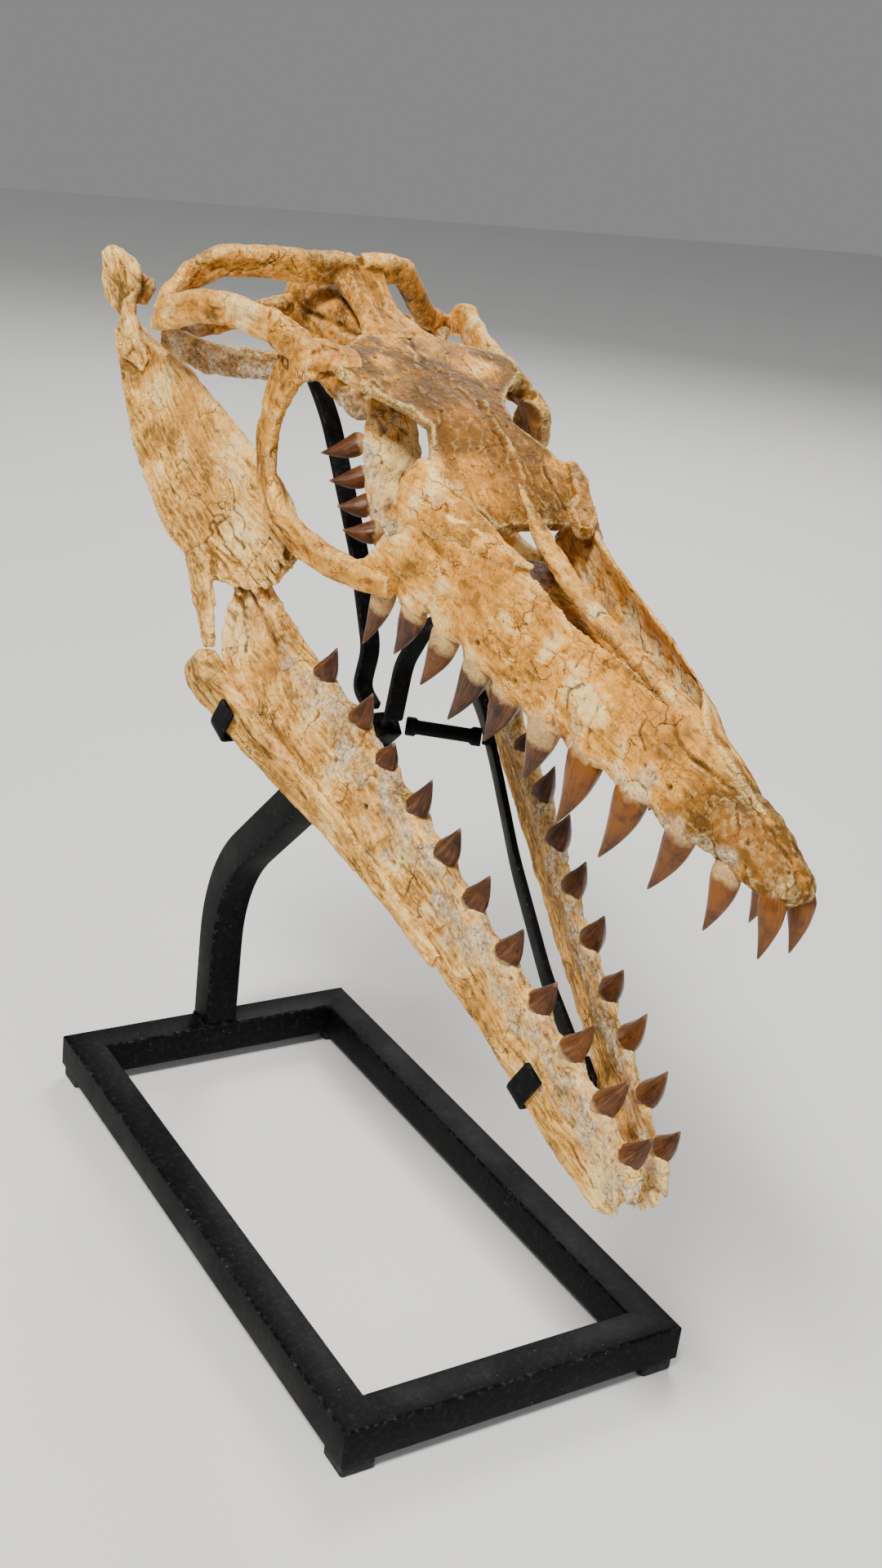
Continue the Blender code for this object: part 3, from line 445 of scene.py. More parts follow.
def bone(node, side, shells, spine, cracks=(), pits=(), swells=(), chalk=(), stain=(), pale=(), deep=(),
         frame=skull_half, tone=0.0, fibre=1.0, lumps=1.0, rough=1.0, seed=1):
    """One bone: its skins melted together, then raised and sunk along its normals by lumps and
    grains of noise, fibres drawn out along the spine, cracks that fall off with the distance
    from wandering lines, round pits and round swells; tone, pale and deep set how light it is,
    and in a few places they paint highlights and shade.
    Lines are (places, width, depth) and spots (place, reach, strength), all in the bone's frame."""
    look = bpy.context.scene.skull_bone
    node = f"{node}_{SIDES[side]}" if side else node
    place = partial(frame, side or 1)
    mesh = melted("bone_" + node, shells, look.skin_step)
    points, normals, edges = mesh_arrays(mesh)

    def zones(spots):
        total = np.zeros(len(points))
        for *spot, reach, strength in spots:
            total = np.maximum(total, strength * nearness(points, place(spot), reach))
        return total

    def layer(size, octaves, shift, places=points):
        return cloud(places, size, octaves, seed + shift)

    def waves(size, shift):
        return np.stack([layer(size, 2, shift + k) for k in range(3)], 1)

    bent_grain = grain_places(points, place(spine)) + waves(0.03, 12) * GRAIN_BEND
    drawn = bent_grain / np.array([FIBRE_STRETCH, 1, 1])
    fibrous = fibre * soft_step(layer(0.04, 2, 15), -0.35, 0.5)
    chalky = np.clip(zones(chalk) * (1 + 0.5 * layer(0.009, 3, 3)), 0, 1)
    chalky = soft_step(chalky, 0.25, 0.62)
    lift = LUMPS[0] * MM * lumps * layer(LUMPS[1], 2, 0)
    lift += ROUGHNESS[0] * MM * rough * layer(ROUGHNESS[1], 3, 1)
    lift += FIBRES[0] * MM * fibrous * (1 - chalky) * layer(FIBRES[1], 2, 2, drawn)
    lift += GRIT[0] * MM * chalky * layer(GRIT[1], 2, 4)
    for size, level, depth in FLAKES:
        flakes = layer(size, 3, 5, drawn * (FIBRE_STRETCH / 2, 1, 1))
        lift -= depth * MM * soft_step(flakes, level, level + 0.05)
    wandered = points + waves(0.009, 6) * CRACK_WANDER
    dark = np.zeros(len(points))
    for line, width, depth in cracks:
        cut = np.exp(-((line_distance(wandered, place(line)) / (width * MM)) ** 2))
        lift -= depth * MM * cut
        dark = np.maximum(dark, cut * (depth > 0) * min(1.0, SHALLOWEST_DARKNESS + depth * DARKNESS_PER_MM))
    veins = 1 - soft_step(np.abs(layer(0.034, 2, 9, wandered)), 0.0, VEIN_WIDTH)
    veins = veins * soft_step(layer(0.028, 2, 10), 0.05, 0.35)
    lift -= look.crack_depth * veins
    dark = np.maximum(dark, VEIN_DARKNESS * veins)
    for *spot, reach, depth in pits:
        cut = nearness(points, place(spot), reach, 4)
        lift -= depth * MM * cut
        dark = np.maximum(dark, cut)
    for *spot, reach, height in swells:
        lift += height * MM * nearness(points, place(spot), reach)
    raised = np.clip(points + normals * lift[:, None], BOX_LOW, BOX_HIGH)
    mesh.vertices.foreach_set("co", raised.astype(np.float32).ravel())
    # Marks for the finish: fine relief and broad hollows, from which it paints shade into hollows and
    # highlight onto ridges, along with wear and dirt.
    even = relaxed(raised, edges, RELIEF_TURNS)
    hollow = ((even - relaxed(even, edges, HOLLOW_TURNS)) * normals).sum(1) / HOLLOW_DEPTH
    kind = "jaw" if frame in JAW_FRAMES else "skull"
    piece("bone_" + node, mesh, [node], kind + "_fossil", {
        "relief": np.clip(((raised - even) * normals).sum(1) / (FIBRES[0] * MM), -1, 1),
        "hollow": np.clip(hollow - np.median(hollow), -1, 1),
        "crack": dark, "chalk": chalky, "stain": zones(stain),
        "tone": tone + zones(pale) - zones(deep), "grain": bent_grain,
    })


# ---- finishes --------------------------------------------------------------------------------
# The first colour is a painted highlight along the teeth's ridges.
RIDGE_HIGHLIGHT, TIP_COLOUR = (0.27, 0.125, 0.055), (0.42, 0.28, 0.20)
BARE_STEEL, DUST_COLOURS = (0.12, 0.11, 0.10), ((0.17, 0.165, 0.16), (0.40, 0.38, 0.35))
RUBBER_COLOURS = ((0.012, 0.012, 0.012), (0.05, 0.048, 0.045))


class Graph:
    """Short calls for laying out one material's nodes."""

    def __init__(self, name):
        self.material = bpy.data.materials.new(name)
        self.material.use_nodes = True
        self.tree = self.material.node_tree
        self.shader = self.tree.nodes["Principled BSDF"]

    def node(self, kind, inputs=(), **settings):
        made = self.tree.nodes.new(kind)
        for key, value in settings.items():
            setattr(made, key, value)
        for key, value in dict(inputs).items():
            self.feed(made.inputs[key], value)
        return made

    def feed(self, socket, value):
        if isinstance(value, bpy.types.NodeSocket):
            self.tree.links.new(value, socket)
        else:
            socket.default_value = value

    def finish(self, colour, roughness, specular, height=None, distance=0.0, strength=1.0, **more):
        """Feeds the shader, with a bump from the height, and returns the material."""
        shades = {"Base Color": colour, "Roughness": roughness, "Specular IOR Level": specular, **more}
        if height is not None:
            inputs = {"Height": height, "Distance": distance, "Strength": strength}
            shades["Normal"] = self.node("ShaderNodeBump", inputs).outputs[0]
        for key, value in shades.items():
            self.feed(self.shader.inputs[key], value)
        return self.material

    def place(self):
        return self.node("ShaderNodeTexCoord").outputs["Object"]

    def mark(self, name, output="Fac"):
        return self.node("ShaderNodeAttribute", attribute_name=name).outputs[output]

    def stretched(self, vector, scale):
        return self.node("ShaderNodeMapping", {"Vector": vector, "Scale": scale}).outputs[0]

    def clouds(self, vector, scale, detail=4.0, roughness=0.55, distortion=0.0, output="Fac"):
        inputs = {"Vector": vector, "Scale": scale, "Detail": detail, "Roughness": roughness,
                  "Distortion": distortion}
        return self.node("ShaderNodeTexNoise", inputs).outputs[output]

    def cells(self, vector, scale, feature="F1"):
        inputs = {"Vector": vector, "Scale": scale}
        return self.node("ShaderNodeTexVoronoi", inputs, feature=feature).outputs["Distance"]

    def vectors(self, operation, inputs):
        return self.node("ShaderNodeVectorMath", inputs, operation=operation).outputs[0]

    def math(self, operation, a, b, clamp=False):
        return self.node("ShaderNodeMath", {0: a, 1: b}, operation=operation, use_clamp=clamp).outputs[0]

    def plus(self, a, b, clamp=False):
        return self.math("ADD", a, b, clamp)

    def minus(self, a, b):
        return self.math("SUBTRACT", a, b)

    def times(self, a, b):
        return self.math("MULTIPLY", a, b)

    def span(self, value, low, high, to_low=0.0, to_high=1.0):
        inputs = {"Value": value, "From Min": low, "From Max": high, "To Min": to_low, "To Max": to_high}
        return self.node("ShaderNodeMapRange", inputs).outputs[0]

    def blend(self, share, a, b):
        made = self.node("ShaderNodeMix", data_type="RGBA")
        for socket, value in ((0, share), (6, a), (7, b)):
            self.feed(made.inputs[socket], value)
        return made.outputs[2]

    def ramp(self, value, *stops):
        made = self.node("ShaderNodeValToRGB", {"Fac": value})
        ramp = made.color_ramp
        while len(ramp.elements) < len(stops):
            ramp.elements.new(0.5)
        for element, stop in zip(ramp.elements, stops):
            element.position, element.color = stop
        return made.outputs["Color"]


def toned(colour, factor=1.0):
    """A colour made lighter or darker, with full opacity."""
    return (*(min(channel * factor, 1.0) for channel in colour), 1.0)


def fossil_finish(name, look, base, streaked):
    """Mineralised bone: soft patches from brown through ochre to cream, cream on raised relief as wear
    and painted highlight, browner in its hollows as painted shade with some dirt, browner in its
    cracks, fibres along each bone, rusty stains, pores, and pale grainy rock near the teeth; the
    'tone' mark makes it paler or deeper, and in a few places it paints highlights and shade."""
    g = Graph(name)
    place, grain = g.place(), g.mark("grain", "Vector")
    relief, crack, chalk, stain, hollow = map(g.mark, ("relief", "crack", "chalk", "stain", "hollow"))
    cream, rust, recess, chalk_colour = (
        colour[:] for colour in (look.cream_colour, look.stain_colour, look.recess_colour,
                                 look.chalk_colour))
    broad = g.clouds(place, 30, 6, 0.62, 0.5)
    small = g.clouds(place, 170, 5, 0.62, 0.4)
    speck = g.clouds(place, 760, 3, 0.6)
    fibres = g.clouds(g.stretched(grain, (60, 430, 430)), 1.0, 5, 0.62, 0.5)
    tone = g.plus(g.times(broad, 0.67), g.times(small, 0.33))
    tone = g.plus(tone, g.times(g.minus(fibres, 0.5), streaked))
    tone = g.plus(tone, g.times(g.mark("tone"), 0.12))
    colour = g.ramp(tone, (0.34, toned(base, 0.20)), (0.43, toned(base, 0.52)), (0.49, toned(base)),
                    (0.55, toned(base, 1.32)), (0.63, toned(cream)))
    rusty = g.times(g.span(g.clouds(place, 52, 5, 0.6, 0.8), 0.50, 0.70), 0.50)
    rusty = g.plus(rusty, g.times(stain, g.span(small, 0.3, 0.7, 0.20, 0.80)), True)
    colour = g.blend(rusty, colour, toned(rust))
    # Cream on raised relief and broad bulges: partly wear, partly painted highlight.
    wear_and_highlight = g.plus(g.span(relief, 0.15, 1.0, 0.0, 0.42), g.span(hollow, 0.2, 1.0, 0.0, 0.38))
    colour = g.blend(g.times(wear_and_highlight, g.span(speck, 0.3, 0.6)), colour, toned(cream))
    # Darker brown in fine and broad hollows: painted shade in place of ambient occlusion, with some dirt.
    shade_and_dirt = g.plus(g.span(relief, -0.08, -0.85, 0.0, 0.62), g.span(hollow, -0.15, -1.0, 0.0, 0.50), True)
    colour = g.blend(shade_and_dirt, colour, toned(base, 0.24))
    wander = g.vectors("SCALE", {0: g.clouds(place, 70, 3, 0.5, output="Color"), "Scale": 1.3})

    def net(scale, wide, thin):
        """Lines along the borders of cells drawn out along the bone."""
        bent_place = g.vectors("ADD", {0: g.stretched(grain, scale), 1: wander})
        return g.span(g.cells(bent_place, 1.0, "DISTANCE_TO_EDGE"), wide, thin)

    hairline = g.times(net((48, 66, 66), 0.020, 0.004), g.span(g.clouds(place, 38, 4, 0.6), 0.52, 0.60))
    finer = g.span(g.clouds(place, 47, 4, 0.6), 0.50, 0.42, 0.0, 0.8)
    finer = g.times(net((110, 170, 170), 0.035, 0.008), finer)
    hairline = g.math("MAXIMUM", hairline, g.times(finer, 0.55))
    colour = g.blend(g.times(hairline, 0.75), colour, toned(recess, 0.6))
    colour = g.blend(g.times(crack, 0.85), colour, toned(recess, 0.5))
    grit = g.clouds(place, 430, 5, 0.72)
    rock = g.ramp(grit, (0.32, toned(recess, 1.2)), (0.42, toned(chalk_colour, 0.50)),
                  (0.53, toned(chalk_colour)), (0.64, toned(chalk_colour, 1.35)))
    rock = g.blend(g.span(g.clouds(place, 75, 5, 0.65), 0.42, 0.56, 0.05, 0.8), rock, colour)
    colour = g.blend(chalk, colour, rock)
    pores = g.times(g.span(g.cells(place, 520), 0.24, 0.09), g.span(g.clouds(place, 110, 3), 0.42, 0.55))
    colour = g.blend(g.times(pores, 0.65), colour, toned(recess, 0.6))
    height = g.plus(g.times(small, 0.75), g.times(speck, 0.30))
    height = g.plus(height, g.times(fibres, 0.55 * streaked + 0.12))
    height = g.plus(height, g.times(grit, chalk))
    height = g.minus(height, g.times(g.plus(pores, hairline), 0.5))
    rough = g.span(g.plus(small, g.times(chalk, 0.6)), 0.25, 1.1, 0.50, 0.95)
    return g.finish(colour, rough, 0.12, height, 0.0014, 0.95)


def enamel_finish(look):
    """Fossil enamel: a purplish brown crown with fine upright lines, a painted highlight along its
    ridges, lighter at the tip, on a pale porous root; the 'crown' mark runs from 0 at the gum to 1 at
    the tip, and the 'root' mark tells where the enamel starts."""
    g = Graph("fossil_enamel")
    place, height, tint, relief, rooting = g.place(), *map(g.mark, ("crown", "tint", "relief", "root"))
    patch = g.clouds(place, 110, 5, 0.62, 0.6)
    fine = g.clouds(place, 620, 4, 0.65)
    lines = g.clouds(g.stretched(g.mark("grain", "Vector"), (7.0, 7.0, 30)), 1.0, 5, 0.62, 0.3)
    dark, amber, root = look.enamel_colour[:], look.amber_colour[:], look.root_colour[:]
    colour = g.blend(g.plus(tint, g.times(g.minus(patch, 0.5), 0.9), True), toned(dark), toned(amber))
    wavy = g.plus(height, g.times(g.minus(patch, 0.5), 0.34))
    for value, low, high, most, shade in (
        (patch, 0.52, 0.36, 0.45, toned(dark, 0.5)), (height, 0.35, 0.95, 0.40, toned(dark, 0.7)),
        (lines, 0.50, 0.70, 0.40, toned(amber, 1.45)), (lines, 0.44, 0.28, 0.60, toned(dark, 0.35)),
        # The first entry on the next line paints a highlight along the ridges.
        (relief, 0.05, 0.8, 0.42, toned(RIDGE_HIGHLIGHT)), (wavy, 0.90, 1.0, 0.45, toned(TIP_COLOUR)),
    ):
        colour = g.blend(g.span(value, low, high, 0.0, most), colour, shade)
    rooted = g.span(g.minus(wavy, rooting), 0.06, -0.03)
    porous = g.ramp(fine, (0.3, toned(root, 0.40)), (0.46, toned(root, 0.85)), (0.6, toned(root)),
                    (0.75, toned(root, 1.25)))
    porous = g.blend(g.span(patch, 0.40, 0.62, 0.5, 0.0), porous, toned(root, 0.45))
    colour = g.blend(rooted, colour, porous)
    rough = g.span(g.plus(rooted, g.times(patch, 0.35)), 0.1, 1.2, 0.26, 0.85)
    bumps = g.plus(g.times(lines, 0.55), g.times(fine, g.span(rooted, 0.0, 1.0, 0.12, 0.8)))
    return g.finish(colour, rough, 0.22, bumps, 0.0009, 0.8,
                    **{"Coat Weight": 0.04, "Coat Roughness": 0.25})


def steel_finish(look):
    """Black satin paint on steel: faint mottling, specks and a thin film of dust, hairline scratches,
    and a little worn paint along the edges."""
    g = Graph("black_satin_steel")
    place, paint = g.place(), look.steel_colour[:]
    broad = g.clouds(place, 22, 5, 0.6)
    fine = g.clouds(place, 850, 3, 0.65)
    colour = g.blend(g.span(broad, 0.35, 0.7), toned(paint, 0.7), toned(paint, 1.5))
    dust = g.times(g.span(g.cells(place, 190), 0.070, 0.03), g.span(g.clouds(place, 24, 3), 0.50, 0.62))
    film = g.times(g.span(g.clouds(place, 75, 6, 0.7), 0.55, 0.80), 0.03)
    colour = g.blend(film, colour, toned(DUST_COLOURS[0]))
    scratch = g.clouds(g.stretched(place, (900, 60, 420)), 1.0, 2, 0.5, 0.4)
    scratch = g.times(g.span(scratch, 0.68, 0.76), g.span(broad, 0.5, 0.62))
    scuffs = g.times(g.mark("edge"), g.span(g.clouds(place, 240, 4, 0.7), 0.50, 0.68))
    bare = g.math("MAXIMUM", g.times(scratch, 0.30), g.times(scuffs, 0.38))
    colour = g.blend(bare, colour, toned(BARE_STEEL))
    colour = g.blend(g.times(dust, 0.6), colour, toned(DUST_COLOURS[1]))
    rough = g.span(g.plus(broad, dust), 0.3, 1.2, look.steel_roughness, 0.85)
    height = g.plus(g.times(fine, 0.30), g.times(g.clouds(place, 130, 3), 0.6))
    return g.finish(colour, rough, 0.06, g.minus(height, g.times(bare, 0.4)), 0.0003, 0.6)


def rubber_finish():
    """Dull black rubber with a fine grain and dust in its pores."""
    g = Graph("black_foot_rubber")
    place = g.place()
    fine = g.clouds(place, 1400, 4, 0.7)
    colour = g.blend(g.span(g.clouds(place, 160, 4), 0.45, 0.7, 0.0, 0.6), *map(toned, RUBBER_COLOURS))
    return g.finish(colour, g.span(fine, 0.3, 0.7, 0.75, 0.95), 0.3, fine, 0.0003, 0.6)


def finish_of(kind):
    """The material of a kind, made once from the settings."""
    scene = bpy.context.scene
    bones, teeth, stand = scene.skull_bone, scene.skull_teeth, scene.skull_stand
    makers = {
        "skull_fossil": lambda: fossil_finish("skull_fossil", bones, bones.bone_colour[:], 0.26),
        "jaw_fossil": lambda: fossil_finish("jaw_fossil", bones, bones.jaw_colour[:], 0.62),
        "fossil_enamel": lambda: enamel_finish(teeth),
        "black_satin_steel": lambda: steel_finish(stand),
        "black_foot_rubber": rubber_finish,
    }
    return bpy.data.materials.get(kind) or makers[kind]()


# ---- teeth -----------------------------------------------------------------------------------
CROWN_GIRTH = ((-0.24, 0.14), (-0.12, 0.60), (0.0, 0.96), (0.10, 1.08), (0.22, 1.02), (0.42, 0.83),
               (0.62, 0.57), (0.80, 0.33), (0.93, 0.15), (0.98, 0.075), (1.0, 0.02))
TOOTH_BOW, DIAMOND_SHARE, RIB_HEIGHT, LUMP_HEIGHT = 0.05, 0.40, 0.035, 0.05
# back along the skull and height of gum and tip, breadth, root's share, and how amber the enamel is
UPPER_TEETH = (
    (6.5, -13, -4.5, -42.2, 15, -0.16, 0.75), (32.5, -21.7, 25.8, -56.4, 16.5, 0.08, 0.9),
    (63, -22, 61.7, -66.3, 19, 0.10, 0.75), (96, -31, 94, -77.8, 20.5, 0.02, 0.95),
    (129, -38, 125, -84.7, 21.5, 0.0, 0.9), (160, -44, 154.8, -83.7, 21, 0.32, 0.25),
    (189, -50, 188, -87.0, 20.5, 0.10, 0.15), (213, -54, 216.0, -97.7, 20, 0.12, 0.1),
    (241, -58, 243, -97.0, 19, 0.16, 0.6), (268.6, -64, 269, -97.6, 18, 0.10, 0.12),
    (294, -72, 294.0, -111.5, 16.5, 0.28, 0.4),
)
# along the jaw, tip height, breadth, amber
LOWER_TEETH = (
    (-2, 1, 13, 0.30), (27, 9.5, 14, 0.55), (60, 10, 14, 0.65), (91, 2, 14.5, 0.2), (125, 1.5, 15.5, 0.25),
    (160, 1.5, 15.5, 0.2), (192, 1.5, 15.5, 0.15), (224.5, 3, 14.5, 0.05), (259, -7, 15, 0.15),
    (290, -1, 15, 0.3), (329, -6, 14.5, 0.1),
)
PTERYGOID_TEETH = (
    ((57, 390, -52), (37, 384, -41)), ((55, 376, -61), (36, 371, -54)), ((54, 362, -68), (37, 357, -64)),
    ((55, 348, -74), (38, 340, -70)), ((53, 326, -78), (38, 319, -74)),
)


def crown(base, tip, width, lean, seed, flatness=0.84):
    """A tooth: a rounded diamond ring whose size follows the girth curve from the buried root to the
    tip, carried along a line that bows away from the lean direction by a half sine; also its marks."""
    base, tip, lean = (np.asarray(v, float) for v in (base, tip, lean))
    length, axis = np.linalg.norm(tip - base), unit(tip - base)
    lean = unit(lean - axis * (lean @ axis))
    rows = through(CROWN_GIRTH, 54)
    part, girth = rows[:, 0], np.maximum(rows[:, 1], 0.015)
    angle = circle(48)
    diamond = 1 / (np.abs(np.cos(angle)) + np.abs(np.sin(angle)))
    up, turn = np.meshgrid(part, angle, indexing="ij")
    places = np.stack([np.cos(turn) * 2.2, np.sin(turn) * 2.2, up * 1.3 + seed], -1).reshape(-1, 3)
    ribs = cloud(places, 0.42, 2, seed).reshape(up.shape)
    broad = cloud(places * 0.5, 0.9, 2, seed + 5).reshape(up.shape)
    uneven = np.clip(1.05 - up, 0, 1) * (RIB_HEIGHT * ribs + LUMP_HEIGHT * broad)
    half = width * MM / 2 * girth[:, None] * (1 - DIAMOND_SHARE + DIAMOND_SHARE * diamond + uneven)
    bow = TOOTH_BOW * length * np.sin(np.pi * np.clip(part, 0, 1))
    centre = base + axis * (length * part)[:, None] - lean * bow[:, None]
    across = np.cross(axis, lean)
    rings = swept(centre, across[None], lean[None], half * np.sin(turn) * flatness, half * np.cos(turn))
    grain = np.stack([np.cos(turn), np.sin(turn), up * 0.12 + seed], -1).reshape(-1, 3)
    # How far each point lies on a ridge; the enamel finish paints a highlight there.
    ridge = np.clip(ribs * 0.7 + (diamond - 0.86) * 1.4, -1, 1).ravel()
    marks = {"crown": np.concatenate([up.ravel(), part[[0, -1]]]),
             "grain": np.concatenate([grain, grain[:1], grain[-1:]]), "relief": np.append(ridge, [0, 0])}
    return outward(tube(rings)), marks


def tooth_row(node, teeth):
    """A row of separate crowns in one mesh, each (base, tip, width, lean, root share, amber)."""
    made = [crown(*tooth[:4], seed=31 + 7 * k) for k, tooth in enumerate(teeth)]
    for (shell, marks), (*_, root, amber) in zip(made, teeth):
        marks["root"], marks["tint"] = (np.full(len(shell[0]), value) for value in (root, amber))
    mesh = new_mesh("teeth_" + node, put_together([shell for shell, _ in made]))
    marks = {key: np.concatenate([marks[key] for _, marks in made]) for key in made[0][1]}
    piece("teeth_" + node, mesh, [node], "fossil_enamel", marks)


def upper_tooth(side, row):
    s0, n0, s1, n1, width, root, amber = row
    base = skull_half(side, (margin_x(s0) - 4.5, s0, n0))
    tip = skull_half(side, (margin_x(s1) - 2.0, s1, n1))
    return base, tip, width, SKULL_BACK, root, amber


def lower_tooth(side, row):
    a, height, width, amber = row
    behind = np.interp(a, (0, 60, 125), (3.0, 2.0, -0.5))
    base, tip = jaw(side, (a + behind, jaw_top(a) - 2.5, 0)), jaw(side, (a + 1, height + 0.5, 0))
    return base, tip, width * 1.08, step_along(side), 0.09, amber * 0.8


def palate_tooth(side, tip, foot):
    return skull_half(side, foot), skull_half(side, tip), 12.5, (0, 0.3, 1), 0.04, 0.3


def build_teeth():
    tooth_row("premaxilla", [upper_tooth(side, row) for side in SIDES for row in UPPER_TEETH[:2]])
    for side, word in SIDES.items():
        tooth_row("maxilla_" + word, [upper_tooth(side, row) for row in UPPER_TEETH[2:]])
        tooth_row("dentary_" + word, [lower_tooth(side, row) for row in LOWER_TEETH])
        tooth_row("pterygoid_" + word, [palate_tooth(side, *places) for places in PTERYGOID_TEETH])


# ---- skull bones -----------------------------------------------------------------------------
GUM_LINE = ((0, -11), (7, -15), (22, -21), (49, -25.5), (76, -31), (110, -37.5), (139, -45), (169, -52),
            (205, -55), (241, -58), (271, -61.5), (292, -67))
PREMAXILLA = ((-1.5, 6.5, -4, -10.5), (3, 10, 0, -15.5), (13, 13.2, 1.8, -19.5), (26, 16, 2.8, -23.5),
              (41.5, 18.4, 3.5, -26.5), (51, 17.0, 2.2, -26.0), (58, 15, 0.5, -24.0))
# back along the skull, top (x, up), wall thickness, width of the ledge that carries the teeth
MAXILLA = (
    (39.3, 0.2, 3.6, 15, 12), (68, 0.2, 4.4, 15, 13), (96, 0.2, 7.0, 14, 14), (113, 10, 8.5, 8, 14),
    (140, 14.5, 9.0, 6.5, 14), (158, 16.8, 8.2, 6, 14), (175, 19, 6.5, 5.5, 14), (192, 21.5, 4.2, 6, 14),
    (210, 24, 1.5, 6.5, 14), (232, 28.6, -1.6, 7.5, 13.5), (250, 32.5, -3.7, 8, 13),
    (270, 41, -6, 9, 12), (293, 50, -10, 9, 11),
)
NASAL_BAR = ((90, 4.2, 5.5, 3.2), (99, 3.5, 6.5, 3.8), (112, 3.4, 6.6, 4.2), (145, -1.0, 6.2, 4.2),
             (180, -6.2, 6.0, 4.4), (220, -8.2, 6.2, 4.4), (246, -6.8, 6.2, 4.2), (256, -4.6, 5.6, 3.8),
             (266, -1.8, 3.4, 2.6), (278, 0.7, 2.0, 1.7), (290, 2.6, 1.0, 1.2))
FRONTAL = (
    (261, 25, -2.8, 3, 3.6), (282, 36, 2.5, 4, 4.4), (303, 44, 6.5, 6, 4.8), (320, 38, 9, 5, 4.8),
    (334, 33, 10.5, 4, 4.6), (350, 40, 10, 4, 4.6), (372, 51, 8, 4, 4.8), (392, 61, 5.5, 3, 5.0),
    (408, 60, 3.5, 1, 5.0), (421, 42, 1.5, 1, 4.6), (431, 30, 0.5, 1, 4.2),
)
# stations back along the skull, each with six corners (x, up) round the sheet from frontal to maxilla
PREFRONTAL = (
    (227, (24, -2), (26, -2), (29, -5), (29, -8), (27, -9), (24, -6)),
    (240, (24, -3.5), (30, -2.5), (35, -7), (35, -13), (32, -14), (26, -9)),
    (255, (25, -4.0), (32, -3.2), (41.5, -9), (43, -17), (38, -19), (29, -12)),
    (270, (29, -3.0), (37, -3.2), (47.5, -11), (50, -21), (45, -23), (33, -12)),
    (285, (34, -0.6), (42.5, -4), (51.5, -12.5), (54.5, -24), (49, -27), (38, -13)),
    (298, (39, 0.6), (48.5, -3.5), (55, -11.5), (57, -26), (51, -29), (42, -13)),
    (308, (41, 1.2), (50, -3.8), (54.5, -11), (55, -23), (50, -25), (42, -12)),
    (315, (44, -1.5), (49, -5), (51.5, -10.5), (51.5, -18), (48, -19), (44, -11)),
)
# x outward, s, n, half breadth, half thickness; the left side was pressed lower and closer in
POSTORBITAL_WING = {
    -1: ((44, 400, 0, 10, 4.0), (61.5, 405, 1.5, 12, 5.5), (77, 407, 1.5, 12, 6.5)),
    1: ((41, 399, -4, 10, 4.0), (56, 401, -7, 12, 5.0), (68, 402, -10.5, 12, 5.5)),
}
POSTORBITAL_BAR = {
    -1: ((74.7, 399, 3.5, 11, 5.0), (77, 410, -7, 14.5, 5.5), (78.5, 415, -23, 12.8, 5.2),
         (79.3, 415, -43, 11, 4.8)),
    1: ((64, 391, -10, 15, 5.0), (72, 388, -18, 20, 5.2), (78.5, 389, -30, 18.5, 5.0),
        (79.3, 398, -48, 11.5, 4.8)),
}
JUGAL = {
    -1: ((79.3, 415, -40, 10.8, 4.5), (79.3, 413, -59, 9.4, 4.5), (77.8, 404, -78, 8.6, 4.3),
         (74.7, 387, -92, 9.6, 4.4), (70, 361, -93, 9.8, 4.4), (66, 334, -85, 8.8, 4.4),
         (62, 306, -73, 8.0, 4.2), (57, 284, -63, 6.5, 3.8)),
    1: ((79.3, 401, -45, 8.5, 4.5), (79, 402, -62, 7.6, 4.5), (77.5, 396, -80, 6.8, 4.3),
        (74.7, 380, -93, 8.2, 4.4), (70, 357, -94, 8.4, 4.4), (66, 332, -85, 7.4, 4.4),
        (62, 306, -73, 6.8, 4.2), (57, 284, -63, 5.5, 3.8)),
}
ARCADE_FRONT = {
    -1: ((73, 401, 1, 6, 9), (77, 411, 3, 5.8, 10.5), (88, 431, 5, 4.6, 10.5)),
    1: ((65, 398, -13, 6, 8), (71, 409, -16.5, 5.4, 8.5), (73.5, 429, -19, 4.6, 9)),
}
ARCADE_REAR = {
    -1: ((87, 428, 5, 4.4, 10), (96, 455, -3, 4.6, 9.5), (103, 488, -20, 5, 9.5),
         (108.5, 510, -40, 6.5, 9.5), (109, 520, -53, 5.5, 5.0), (108.5, 524, -58, 3.5, 2.6)),
    1: ((73.3, 426, -19, 4.4, 8.6), (75.5, 450, -22.5, 4.6, 9), (80, 475, -26, 5, 9.5),
        (88, 499, -29.5, 6, 9.5), (94, 512, -36, 7, 10), (94, 521, -47, 5.5, 6.5)),
}
PARIETAL = ((430, -5.5, 28, 5), (443, -6.5, 22, 6), (458, -6.5, 15, 6.5), (480, -5, 14, 6.5),
            (498, -3, 17, 7.5), (514, -3, 18, 7))
PARIETAL_WING = {
    -1: ((4, 503, 0, 6, 9), (22, 502, 0, 6, 10), (50, 511, -3, 5, 10), (80, 520, -10, 4.6, 9.5),
         (94, 523, -22, 4.6, 9), (104, 521, -34, 4.8, 8.5), (108, 519, -44, 5, 8)),
    1: ((4, 503, 0, 6, 9), (20, 503, 2, 6, 8.5), (34, 505, -1.5, 5.5, 8), (46, 509, -14, 5, 7.5),
        (57, 512, -27, 4.6, 7), (69, 516, -38, 4.6, 7), (82, 518, -43, 4.6, 7), (92, 518, -46, 4.6, 7)),
}
BRAINCASE = ((444, -26, 9, 9), (468, -34, 16, 18), (500, -40, 22, 27), (532, -44, 21, 24),
             (548, -47, 13, 15), (560, -49, 10, 10))
